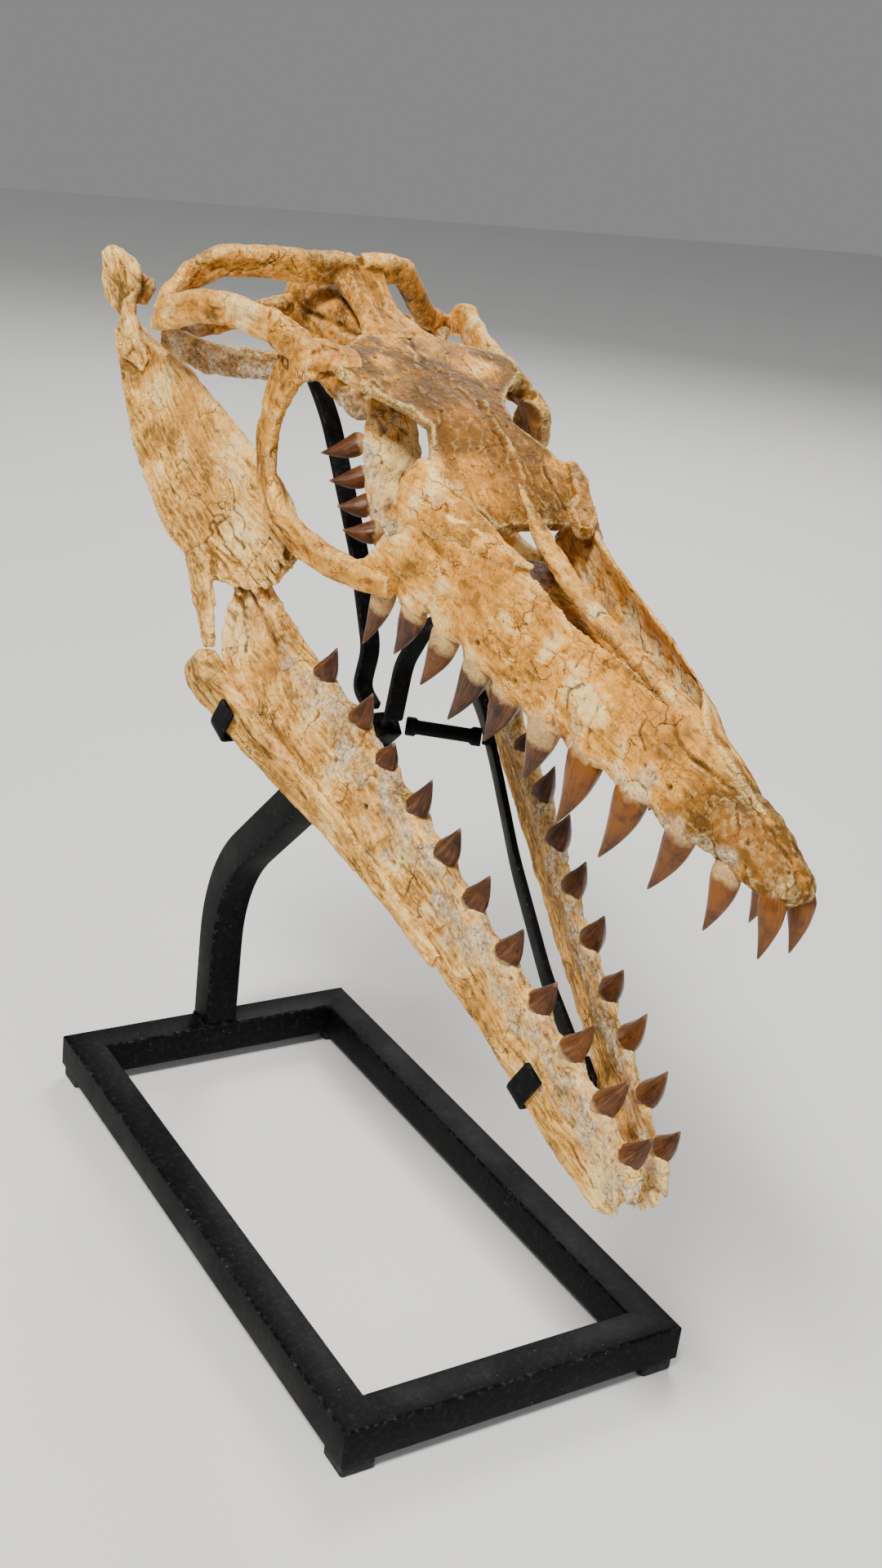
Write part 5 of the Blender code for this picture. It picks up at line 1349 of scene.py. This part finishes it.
def build_surangular(side):
    """The deep hind plate, splintered at its front edge, and the spur under it."""
    shells = [skin(plate_rings(rear, side, SURANGULAR), 170, 90), bone_shaft(SPUR, side, rear, around=28)]
    for h, reach, *rest in SPLINTERS:
        start = np.interp(h, (-34, -19, -1, 10, 20), (-56, -66, -66, -58, -44))
        offsets = ((14, 0, 0), (3, 0, 0), (-reach, -1.5, -0.5))
        shells.append(sliver(side, rear, (start, h, *rest), offsets, 0.9, (1.2, 1.0), around=16, step=1.2))
    cracks = [
        (((a0, h0, 13), ((a0 + a1) / 2, (h0 + h1) / 2 + 1.5 * math.sin(k), 14), (a1, h1, 12)), 1.0, 1.1)
        for k, (a0, a1, h0, h1) in enumerate(PLATE_CRACKS)
    ]
    cracks.append((((-25, 18, 8), (-8, 14, 11), (8, 10, 12), (22, 16, 9)), 1.2, 0.9))
    bone(
        "surangular", side, shells, ((-66, -10, 10), (20, -12, 14), (134, 6, 8)), cracks,
        alike(((60, 10, 13), (48, 14, 13), (70, -6, 13), (12, 16, 13), (30, 12, 13), (-6, 6, 13)),
              1.1, 1.2),
        stain=[(55, 12, 9, 20, 0.9), (100, 6, 8, 16, 1.0), (0, -22, 14, 16, 0.7), (35, 4, 12, 18, 0.8),
               (-5, -46, 20, 18, 0.5)],
        pale=[(5, 13, 9, 22, 1.5), (75, 2, 10, 22, 1.1), (-33, -9, 12, 18, 1.3), (30, -24, 14, 24, 0.9)],
        deep=alike(((104, 4, 12), (62, -14, 12), (14, -10, 12)), 20, 0.6),
        frame=rear, fibre=2.3, rough=1.3, tone=-0.1, seed=151 + side,
    )


def build_articular(side):
    bone(
        "articular", side, [bone_shaft(rows, side, rear) for rows in (ARTICULAR, JAW_KNOB)],
        ((134, 4, 0), (179, 20, 0)),
        cracks=[(((140, 8, 5), (158, 16, 5), (172, 14, 5)), 0.9, 0.8),
                (((150, 22, 4), (162, 20, 5), (176, 24, 4)), 0.8, 0.7)],
        pits=alike(((160, 10, 5), (168, 22, 5), (152, 16, 5)), 1.4, 1.3), pale=[(164, 18, 4, 14, 0.8)],
        # The first deep spot paints shade over the jaw knob.
        deep=[(134, 27, -7, 13, 2.6), (140, 22, 3, 8, 1.4)], stain=[(134, 26, -6, 12, 0.8)],
        frame=rear, rough=1.9, tone=0.2, seed=161 + side,
    )


# ---- stand -----------------------------------------------------------------------------------
BAR = 0.025
BASE_LENGTH, BASE_WIDTH = 0.450, 0.233
FOOT_HEIGHT, FOOT_SIZE = 0.008, 0.022
BASE_TOP = FOOT_HEIGHT + BAR
NECK_Y = MOUNT_Y + BASE_LENGTH / 2 - BAR / 2
NECK_STRAIGHT, NECK_RADIUS, NECK_REACH = 0.100, 0.130, 0.205
NECK_TURN = math.radians(46.5)
AHEAD = np.array([0.0, -math.sin(NECK_TURN), math.cos(NECK_TURN)])
HUB_WIDTH, HUB_THICK = 22.0, 16.0
STEM_WIDTH, STEM_THICK, ARM_WIDTH, ARM_THICK, ROD_RADIUS = 12.0, 5.0, 11.0, 4.0, 4.5
CLIP_WIDTH, CLIP_THICK = 14.0, 2.8
CREASE = math.radians(38)
# metres from the hub, then places in the skull's middle plane
FRONT_STEM = (((0, -0.016, 0.012), (0, -0.022, 0.050), (0, -0.042, 0.080)), ((271, -61.8),))
HIND_STEM = (
    ((0, 0.010, 0.011), (0, 0.026, 0.018), (0, 0.019, 0.046), (0, 0.045, 0.098)),
    ((455, -105.7), (467, -98.6), (479, -92), (496, -86), (514, -81.5), (534, -71)),
)
SADDLE = ((-30, 268, -57.8), (30, 268, -57.8))
# stations along a base bar as shares of its length, close together at its mitres, and a mitre's reach
BAR_STATIONS = (0, 0.0006, 0.0013, 0.002, 0.003, 0.005, *np.linspace(0.02, 0.98, 40),
                0.995, 0.997, 0.998, 0.9987, 0.9994)
SEAM_REACH, SEAM_EDGE = 0.0012, 0.6
BASE_CORNERS = {"back_right": (-1, 1), "back_left": (1, 1), "front_left": (1, -1), "front_right": (-1, -1)}
ARM_TRACK = ((352, -80, 14), (318, -67, 7), (270, -57, -3), (200, -53, -13.5), (120, -51, -18),
             (58, -50, -14.5))
# along the jaw, then outward places of arm, inner and outer limb, and heights of top, low bend and lip
CLIPS = {"rear": (345, 17, 20.5, 36.5, -76, -93.5, 22), "front": (64, -11.6, -7, 8, -50, -65.5, 25)}
# share of the rod's length, offset from there, radius in mm
ROD_STEPS = ((0, 0, 5.2), (0, 0.0006, 5.9), (0, 0.006, 5.9), (0, 0.0066, 5.0), (0, 0.0075, 4.5),
             (1, -0.0075, 4.5), (1, -0.0062, 5.4), (1, -0.0055, 5.9), (1, 0, 5.9))
# rise and breadth as shares, how far the corners reach, and the edge mark
HEAD_STEPS = ((-0.5, 1.0, 1.12, 0), (0.0, 1.0, 1.12, 0.3), (0.62, 1.0, 1.04, 0.7), (0.86, 0.95, 1.04, 1),
              (1.0, 0.84, 1.04, 0.8), (1.0, 0.4, 1.04, 0))
FOOT_LEVELS = ((0.0, 0.90), (0.0005, 0.96), (0.0015, 1.0), (0.0066, 1.0), (0.0072, 0.97), (0.0077, 0.97))
WELD_LOOP = ((1, 0), (1, 0.8), (0.8, 1), (0, 1), (-0.8, 1), (-1, 0.8), (-1, 0), (-1, -0.8), (-0.8, -1),
             (0, -1), (0.8, -1), (1, -0.8))


def box_ring(width, thickness, corner, per_corner=6):
    """A rectangle of mm sizes with round corners: each corner's middle plus a quarter circle; returns
    the places and how near each is to the middle of a corner."""
    quarter = (np.arange(per_corner) + 0.5) / per_corner * np.pi / 2
    angle = np.concatenate([quarter + k * np.pi / 2 for k in range(4)])
    reach = np.array([width / 2 - corner, thickness / 2 - corner])
    sign = np.repeat([[1, 1], [-1, 1], [-1, -1], [1, -1]], per_corner, axis=0)
    places = sign * reach + corner * np.stack([np.cos(angle), np.sin(angle)], 1)
    return places * MM, np.tile(1 - np.abs(quarter / (np.pi / 4) - 1), 4)


def bent(path, radius, step):
    """A polyline whose corners are rounded by parabolas that start a radius away, cut into even steps."""
    path = [np.asarray(p, float) for p in path]
    points = [path[0]]
    t = np.linspace(0, 1, 7)[:, None]
    for before, at, after in zip(path, path[1:], path[2:]):
        first, last = (
            at + unit(end - at) * min(radius, np.linalg.norm(end - at) * 0.48) for end in (before, after))
        points += list((1 - t) ** 2 * first + 2 * t * (1 - t) * at + t**2 * last)
    points = np.array(points + [path[-1]])
    places = np.concatenate([[0.0], np.cumsum(np.linalg.norm(np.diff(points, axis=0), axis=1))])
    at = np.linspace(0, places[-1], max(int(places[-1] / step), 3))
    return np.stack([np.interp(at, places, points[:, k]) for k in range(3)], 1)


def strip(path, width, thickness, hint, corner=0.8, radius=0.004, step=0.003):
    """A rounded rectangle carried along a bent path, its width along the hint, drawn in a little
    over the last millimetre at each end; also how near each point is to an edge."""
    path = bent(path, radius, step)
    inset = corner * MM
    path = np.concatenate([path[:1], path[:1] - unit(path[0] - path[1]) * inset, path[1:-1],
                           path[-1:] - unit(path[-1] - path[-2]) * inset, path[-1:]])
    side, up = path_frames(path, hint)
    places, edge = box_ring(width, thickness, corner)
    shrink = np.ones((len(path), 1))
    shrink[[0, -1]] = 1 - 1.2 * corner / max(width, thickness)
    marks = np.tile(edge, (len(path), 1))
    marks[[0, 1, -2, -1]] = np.maximum(marks[[0, 1, -2, -1]], 0.7)
    rings = swept(path, up, side, places[:, 0] * shrink, places[:, 1] * shrink)
    return outward(tube(rings)), np.append(marks, [0, 0])


def round_bar(path, sizes, around=32):
    """A round rod: circles of the given radii in mm carried along the path."""
    angle, sizes = circle(around), np.array(sizes)[:, None] * MM
    rings = swept(path, *path_frames(path, UP), np.cos(angle) * sizes, np.sin(angle) * sizes)
    return outward(tube(rings)), np.zeros(len(path) * around + 2)


def hex_head(centre, axis, across, height):
    """A hexagon head with a chamfered crown: a circle of six flats, its size set by the height."""
    axis = unit(np.asarray(axis, float))
    side = unit(np.cross(axis, (0.3, 0.2, 0.93)))
    angle = circle(36, 0.5)
    flat = 1 / np.cos((angle % (np.pi / 3)) - np.pi / 6)
    rise, share, corner, edge = np.transpose(HEAD_STEPS)[..., None]
    radius = across / 2 * MM * np.minimum(flat, corner) * share
    rings = swept(centre + axis * rise * height * MM, side[None], np.cross(side, axis)[None],
                  radius * np.cos(angle), radius * np.sin(angle))
    return outward(tube(rings)), np.append(np.repeat(edge, 36), [0, 0])


def weld_bead(loop, thick, seed):
    """A lumpy round bead carried round a closed loop of points."""
    loop = through(loop, 160, closed=True)
    ahead = unit(np.roll(loop, -1, 0) - np.roll(loop, 1, 0))
    side = unit(np.cross(ahead, (0.02, 0.03, 1.0)))
    angle = circle(12)
    size = thick * MM * (1 + 0.25 * noise(loop, 0.003, seed) + 0.2 * noise(loop, 0.009, seed + 1))[:, None]
    rings = swept(loop, side, np.cross(side, ahead), size * np.cos(angle), size * np.sin(angle))
    return outward(ring_loop(rings)), np.full(len(loop) * 12, 0.25)


def stand_piece(name, parts, nodes=None, finish="black_satin_steel"):
    """Shells with their edge marks as one piece of the stand."""
    name = "stand_" + name
    mesh = new_mesh(name, put_together([shell for shell, _ in parts]))
    points, _, _ = mesh_arrays(mesh)
    mesh.vertices.foreach_set("co", np.clip(points, BOX_LOW, BOX_HIGH).astype(np.float32).ravel())
    piece(name, mesh, nodes or [name], finish,
          {"edge": np.concatenate([marks for _, marks in parts])})
    mesh.set_sharp_from_angle(angle=CREASE)


def build_base():
    """A rounded square profile carried round a rectangle, its points offset inward so that the
    corners are mitred, with an edge mark at each mitre; and four rubber feet."""
    places, edge = box_ring(BAR / MM, BAR / MM, 2.2, 5)
    inward, height = places[:, 0] + BAR / 2, places[:, 1] + BAR / 2 + FOOT_HEIGHT
    run = np.array(BAR_STATIONS)
    turns = np.array(list(BASE_CORNERS.values()), float)
    rings, marks = [], []
    for first, second in zip(turns, np.roll(turns, -1, 0)):
        reach = np.stack([BASE_WIDTH / 2 - inward, BASE_LENGTH / 2 - inward], -1)
        line = first * reach + (second - first) * reach * run[:, None, None]
        rings.append(np.concatenate([line, np.broadcast_to(height, line.shape[:2])[..., None]], -1))
        seam = np.exp(-((np.minimum(run, 1 - run) / SEAM_REACH) ** 2))[:, None]
        marks.append(np.maximum(np.broadcast_to(edge, line.shape[:2]), seam * SEAM_EDGE))
    rings = np.concatenate(rings)
    rings[..., 1] += MOUNT_Y
    stand_piece("base", [(outward(ring_loop(rings)), np.concatenate(marks).ravel())],
                ["stand_bar_" + word for word in ("back", "left", "front", "right")])
    places, edge = box_ring(FOOT_SIZE / MM, FOOT_SIZE / MM, 2.0, 5)
    for word, (x, y) in BASE_CORNERS.items():
        centre = np.array([x * (BASE_WIDTH - BAR) / 2, y * (BASE_LENGTH - BAR) / 2 + MOUNT_Y])
        rings = [np.insert(centre + places * size, 2, z, axis=1) for z, size in FOOT_LEVELS]
        foot = outward(tube(np.array(rings))), np.append(np.tile(edge, len(rings)), [0, 0])
        stand_piece("foot_" + word, [foot], None, "black_foot_rubber")


def neck_path():
    """The upright's middle line: straight up, an arc forward, then straight to the hub."""
    turn = np.linspace(0, 1, 15)[1:] * NECK_TURN
    arc = np.stack([0 * turn, NECK_Y - NECK_RADIUS * (1 - np.cos(turn)),
                    NECK_STRAIGHT + NECK_RADIUS * np.sin(turn)], 1)
    start = np.array([(0, NECK_Y, BASE_TOP), (0, NECK_Y, NECK_STRAIGHT)])
    return np.concatenate([start, arc, arc[-1:] + AHEAD * NECK_REACH])


def hub_point():
    return neck_path()[-1] + AHEAD * 0.011


def build_upright():
    """The square tube with its foot weld and a welded cap that carries the hub."""
    half = BAR / 2 + 0.0003
    loop = np.array([(x * half, NECK_Y + y * min(half, 0.0122), BASE_TOP + 0.0006) for x, y in WELD_LOOP])
    tube_part = strip(neck_path(), BAR / MM, BAR / MM, SIDEWAYS, corner=2.4, radius=0.001, step=0.004)
    stand_piece("upright", [tube_part, weld_bead(loop, 1.5, 5)])
    hub = hub_point()
    plate = strip([hub - AHEAD * 0.0107, hub + AHEAD * 0.009], HUB_WIDTH, HUB_THICK, SIDEWAYS, corner=1.2)
    head = hex_head(hub + (0, -0.0055, 0.0053) + AHEAD * 0.001, np.cross(SIDEWAYS, AHEAD), 8, 3)
    stand_piece("hub", [plate, head])


def build_yoke():
    """Round rods out from the hub, a flat arm along the inside of each jaw and four bent clips."""
    hub = hub_point()
    for side, word in SIDES.items():
        track = jaw(side, ARM_TRACK)
        order = np.argsort(track[:, 1])
        end = np.array([np.interp(hub[1] - 0.037, track[order, 1], track[order, k]) for k in range(3)])
        start = hub + (side * (HUB_WIDTH / 2 + ROD_RADIUS * 0.8) * MM, -0.008, 0.004)
        along = unit(end - start)
        end = end - along * (ARM_THICK / 2 + 3) * MM
        length = np.linalg.norm(end - start)
        share, offset, radii = np.transpose(ROD_STEPS)
        stand_piece("rod_" + word, [round_bar(start + along * (share * length + offset)[:, None], radii)])
        arm = strip(track, ARM_WIDTH, ARM_THICK, UP, corner=0.9, radius=0.012, step=0.006)
        stand_piece("arm_" + word, [arm, hex_head(end + along * 0.004, -along, 9, 3.2)])
        for place, (a, arm_out, inner, outer, top, low, lip) in CLIPS.items():
            drop = CLIP_THICK / 2 + 0.5
            profile = (
                (arm_out, top), (inner - 1, top), (inner, top - 3), (inner, low + 3),
                (inner + 2.4, low - drop), (outer - 2.4, low - drop), (outer, low + 3), (outer, low + lip),
            )
            path = jaw(side, [(a, h, out) for out, h in profile])
            clip = strip(path, CLIP_WIDTH, CLIP_THICK, step_along(side), radius=0.0022, step=0.001)
            stand_piece(f"clip_{place}_{word}", [clip])


def build_stems():
    """Flat bars from the hub: forward to a saddle under the palate, and back to the braincase."""
    def stem(start, rest):
        return [*(hub_point() + start), *skull(on_axis(rest))]

    for name, path, thick, hint in (
        ("stem_front", stem(*FRONT_STEM), STEM_THICK, SIDEWAYS),
        ("stem_rear", stem(*HIND_STEM), STEM_THICK, SIDEWAYS),
        ("saddle", skull(SADDLE), ARM_THICK, SKULL_BACK),
    ):
        stand_piece(name, [strip(path, STEM_WIDTH, thick, hint, corner=1.0, radius=0.008)])


# ---- stage -----------------------------------------------------------------------------------
CAMERA_PLACE = (-0.526, -0.8005, 0.7164)
CAMERA_YAW, CAMERA_PITCH, CAMERA_ROLL = 33.18, 21.51, 7.03
FOCAL_LENGTH, SENSOR_SIZE = 40.62, 36.0
FLOOR_REACH, LIT_PLACE = 8.0, (0, 0, 0.36)
# name, place, side, share of the key light's power, colour
LIGHTS = (
    ("key", (-1.9, -1.2, 3.5), 0.95, 1.0, (1.0, 0.985, 0.96)),
    ("fill", (0.8, -3.2, 1.6), 2.4, 0.16, (0.97, 0.98, 1.0)),
    ("rim", (2.0, 2.4, 2.6), 1.4, 0.38, (1.0, 0.98, 0.96)),
)


def floor_finish(colour):
    """A pale smooth floor with the faintest mottling."""
    g = Graph("pale_floor")
    place = g.place()
    mottled = g.blend(g.span(g.clouds(place, 1.4, 4, 0.6), 0.3, 0.7), toned(colour, 0.97), toned(colour))
    return g.finish(mottled, g.span(g.clouds(place, 60, 3), 0.3, 0.7, 0.62, 0.74), 0.3)


def aim(obj, place, right, above, back):
    turn = Matrix(np.stack([right, above, back], 1).tolist()).to_4x4()
    obj.matrix_world = Matrix.Translation(list(place)) @ turn


def place_camera():
    """The camera's axes from its yaw, pitch and roll: ahead, right, and up square to both."""
    yaw, pitch, roll = (math.radians(v) for v in (CAMERA_YAW, CAMERA_PITCH, CAMERA_ROLL))
    ahead = np.array([math.sin(yaw) * math.cos(pitch), math.cos(yaw) * math.cos(pitch), -math.sin(pitch)])
    right = np.array([math.cos(yaw), -math.sin(yaw), 0.0])
    above = np.cross(right, ahead)
    cos, sin = math.cos(roll), math.sin(roll)
    data = bpy.data.cameras.new("view")
    data.lens, data.sensor_height, data.sensor_width = FOCAL_LENGTH, SENSOR_SIZE, SENSOR_SIZE
    data.sensor_fit = "AUTO"
    data.clip_start = 0.01
    camera = new_object("view", data)
    aim(camera, CAMERA_PLACE, cos * right + sin * above, cos * above - sin * right, -ahead)
    bpy.context.scene.camera = camera


def soft_light(name, place, size, power, colour):
    """A square area light aimed from its place at the middle of the model."""
    back = unit(np.array(place) - LIT_PLACE)
    right = unit(np.cross(UP, back))
    data = bpy.data.lights.new(name, "AREA")
    data.energy, data.size, data.color = power, size, colour
    aim(new_object(name, data), place, right, np.cross(back, right), back)


def build_stage():
    look = bpy.context.scene.skull_stage
    points = FLOOR_REACH * np.array([(-1, -1, 0), (1, -1, 0), (1, 1, 0), (-1, 1, 0)], float)
    mesh = new_mesh("floor", (points, np.array([[0, 1, 2, 3]]), np.zeros((0, 3), int)))
    mesh.materials.append(floor_finish(look.floor_colour[:]))
    new_object("floor", mesh)
    world = bpy.data.worlds.new("studio")
    world.use_nodes = True
    backdrop = world.node_tree.nodes["Background"]
    backdrop.inputs["Color"].default_value = (*look.air_colour[:], 1.0)
    backdrop.inputs["Strength"].default_value = look.air_light
    bpy.context.scene.world = world
    for name, place, size, share, colour in LIGHTS:
        soft_light(name, place, size, look.key_light * share, colour)
    place_camera()


# ---- settings, operators and panel -----------------------------------------------------------
def colour_setting(name, description, default):
    return FloatVectorProperty(name=name, description=description, default=default, size=3,
                               subtype="COLOR", min=0.0, max=1.0)


class SkullBoneSettings(PropertyGroup):
    bone_colour: colour_setting("Skull Bone", "Main tan of the skull's fossil bone", (0.60, 0.255, 0.032))
    jaw_colour: colour_setting("Jaw Bone", "Main tan of the lower jaws", (0.64, 0.315, 0.062))
    # The pale bone colour also serves as painted highlight on raised relief.
    cream_colour: colour_setting("Pale Bone", "Cream of worn ridges and thin flakes", (0.93, 0.66, 0.26))
    stain_colour: colour_setting("Rust Stain", "Orange ochre of the iron stains", (0.50, 0.19, 0.03))
    recess_colour: colour_setting("Hollow", "Brown in cracks and hollows", (0.085, 0.034, 0.011))
    chalk_colour: colour_setting("Chalky Rock", "White-grey rock left round the teeth", (0.70, 0.54, 0.35))
    skin_step: FloatProperty(name="Skin Step", description="Side of the small squares of the bones' skin",
                             default=0.001, min=0.0005, max=0.004, unit="LENGTH")
    crack_depth: FloatProperty(name="Crack Depth", description="Depth of the fine cracks in the bone",
                               default=0.0006, min=0.0, max=0.002, unit="LENGTH")


class SkullToothSettings(PropertyGroup):
    enamel_colour: colour_setting("Dark Enamel", "Purplish brown of the fossil enamel",
                                  (0.034, 0.0135, 0.0085))
    amber_colour: colour_setting("Amber Enamel", "Amber of the lighter crowns", (0.205, 0.064, 0.005))
    root_colour: colour_setting("Root", "Pale tan of the porous roots", (0.64, 0.39, 0.155))


class SkullStandSettings(PropertyGroup):
    steel_colour: colour_setting("Paint", "Black paint of the stand", (0.0026, 0.0026, 0.0029))
    steel_roughness: FloatProperty(name="Paint Roughness", description="How dull the paint is",
                                   default=0.42, min=0.0, max=1.0, subtype="FACTOR")


class SkullStageSettings(PropertyGroup):
    floor_colour: colour_setting("Floor", "Colour of the floor", (0.76, 0.755, 0.745))
    air_colour: colour_setting("Surroundings", "Colour of the light from all round", (0.86, 0.865, 0.87))
    air_light: FloatProperty(name="Surrounding Light", description="Strength of the light from all round",
                             default=0.30, min=0.0, max=5.0)
    key_light: FloatProperty(name="Key Light", description="Power of the main lamp", default=245.0, min=0.0,
                             max=500.0, unit="POWER")


def both(*builders):
    """Calls of the builders for the right side, then for the left."""
    return [partial(build, side) for side in SIDES for build in builders]


def run(*calls):
    for call in calls:
        call()
    return {"FINISHED"}


class SKULLMOUNT_OT_snout(Operator):
    """Adds the premaxilla, both maxillae and the bar between the nostrils"""
    bl_idname = "skullmount.snout"
    bl_label = "Snout"

    def execute(self, context):
        return run(build_premaxilla, *both(build_maxilla), build_nasal_bar)


class SKULLMOUNT_OT_roof(Operator):
    """Adds the frontal, both prefrontals and the parietal"""
    bl_idname = "skullmount.roof"
    bl_label = "Skull Roof"

    def execute(self, context):
        return run(build_frontal, *both(build_prefrontal), build_parietal)


class SKULLMOUNT_OT_cheeks(Operator):
    """Adds the bars behind and below the eyes and the arches behind them"""
    bl_idname = "skullmount.cheeks"
    bl_label = "Cheek Bars"

    def execute(self, context):
        return run(*both(build_postorbital, build_jugal, build_squamosal))


class SKULLMOUNT_OT_palate(Operator):
    """Adds the braincase, the pterygoids and the palatines"""
    bl_idname = "skullmount.palate"
    bl_label = "Braincase and Palate"

    def execute(self, context):
        return run(build_braincase, *both(build_pterygoid, build_palatine))


class SKULLMOUNT_OT_front_jaws(Operator):
    """Adds both dentaries and splenials"""
    bl_idname = "skullmount.front_jaws"
    bl_label = "Front Jaw Bones"

    def execute(self, context):
        return run(*both(build_dentary, build_splenial))


class SKULLMOUNT_OT_hind_jaws(Operator):
    """Adds both hind jaw plates with their spurs and the articular flags"""
    bl_idname = "skullmount.hind_jaws"
    bl_label = "Hind Jaw Bones"

    def execute(self, context):
        return run(*both(build_surangular, build_articular))


class SKULLMOUNT_OT_teeth(Operator):
    """Adds the rows of teeth of the jaws and of the palate"""
    bl_idname = "skullmount.teeth"
    bl_label = "Teeth"

    def execute(self, context):
        return run(build_teeth)


class SKULLMOUNT_OT_base(Operator):
    """Adds the rectangular base of square tube and its rubber feet"""
    bl_idname = "skullmount.base"
    bl_label = "Base"

    def execute(self, context):
        return run(build_base)


class SKULLMOUNT_OT_upright(Operator):
    """Adds the bent square upright and its hub"""
    bl_idname = "skullmount.upright"
    bl_label = "Upright"

    def execute(self, context):
        return run(build_upright)


class SKULLMOUNT_OT_yoke(Operator):
    """Adds the round rods, the flat arms and the four clips that hold the lower jaws"""
    bl_idname = "skullmount.yoke"
    bl_label = "Jaw Yoke"

    def execute(self, context):
        return run(build_yoke)


class SKULLMOUNT_OT_stems(Operator):
    """Adds the two flat stems and the saddle that carry the skull"""
    bl_idname = "skullmount.stems"
    bl_label = "Skull Stems"

    def execute(self, context):
        return run(build_stems)


class SKULLMOUNT_OT_stage(Operator):
    """Adds the pale floor, the soft lights and the camera"""
    bl_idname = "skullmount.stage"
    bl_label = "Stage"

    def execute(self, context):
        return run(build_stage)


STEPS = ("snout", "roof", "cheeks", "palate", "front_jaws", "hind_jaws", "teeth", "base", "upright", "yoke",
         "stems", "stage")
GROUPS = (("skull_bone", SkullBoneSettings), ("skull_teeth", SkullToothSettings),
          ("skull_stand", SkullStandSettings), ("skull_stage", SkullStageSettings))


class SKULLMOUNT_PT_panel(Panel):
    """Lists the settings and the steps of the model"""
    bl_idname = "SKULLMOUNT_PT_panel"
    bl_label = "Skull Mount"
    bl_space_type = "VIEW_3D"
    bl_region_type = "UI"
    bl_category = "Skull Mount"

    def draw(self, context):
        for name, group in GROUPS:
            box = self.layout.box()
            for key in group.__annotations__:
                box.prop(getattr(context.scene, name), key)
        for step in STEPS:
            self.layout.operator("skullmount." + step)


CLASSES = (
    *(group for _, group in GROUPS), SKULLMOUNT_OT_snout, SKULLMOUNT_OT_roof, SKULLMOUNT_OT_cheeks,
    SKULLMOUNT_OT_palate, SKULLMOUNT_OT_front_jaws, SKULLMOUNT_OT_hind_jaws, SKULLMOUNT_OT_teeth,
    SKULLMOUNT_OT_base, SKULLMOUNT_OT_upright, SKULLMOUNT_OT_yoke, SKULLMOUNT_OT_stems,
    SKULLMOUNT_OT_stage, SKULLMOUNT_PT_panel,
)


def register():
    for entry in CLASSES:
        bpy.utils.register_class(entry)
    for name, group in GROUPS:
        setattr(bpy.types.Scene, name, PointerProperty(type=group))


def unregister():
    for name, _ in GROUPS:
        delattr(bpy.types.Scene, name)
    for entry in reversed(CLASSES):
        bpy.utils.unregister_class(entry)


def main():
    register()
    for step in STEPS:
        getattr(bpy.ops.skullmount, step)()


if __name__ == "__main__":
    main()
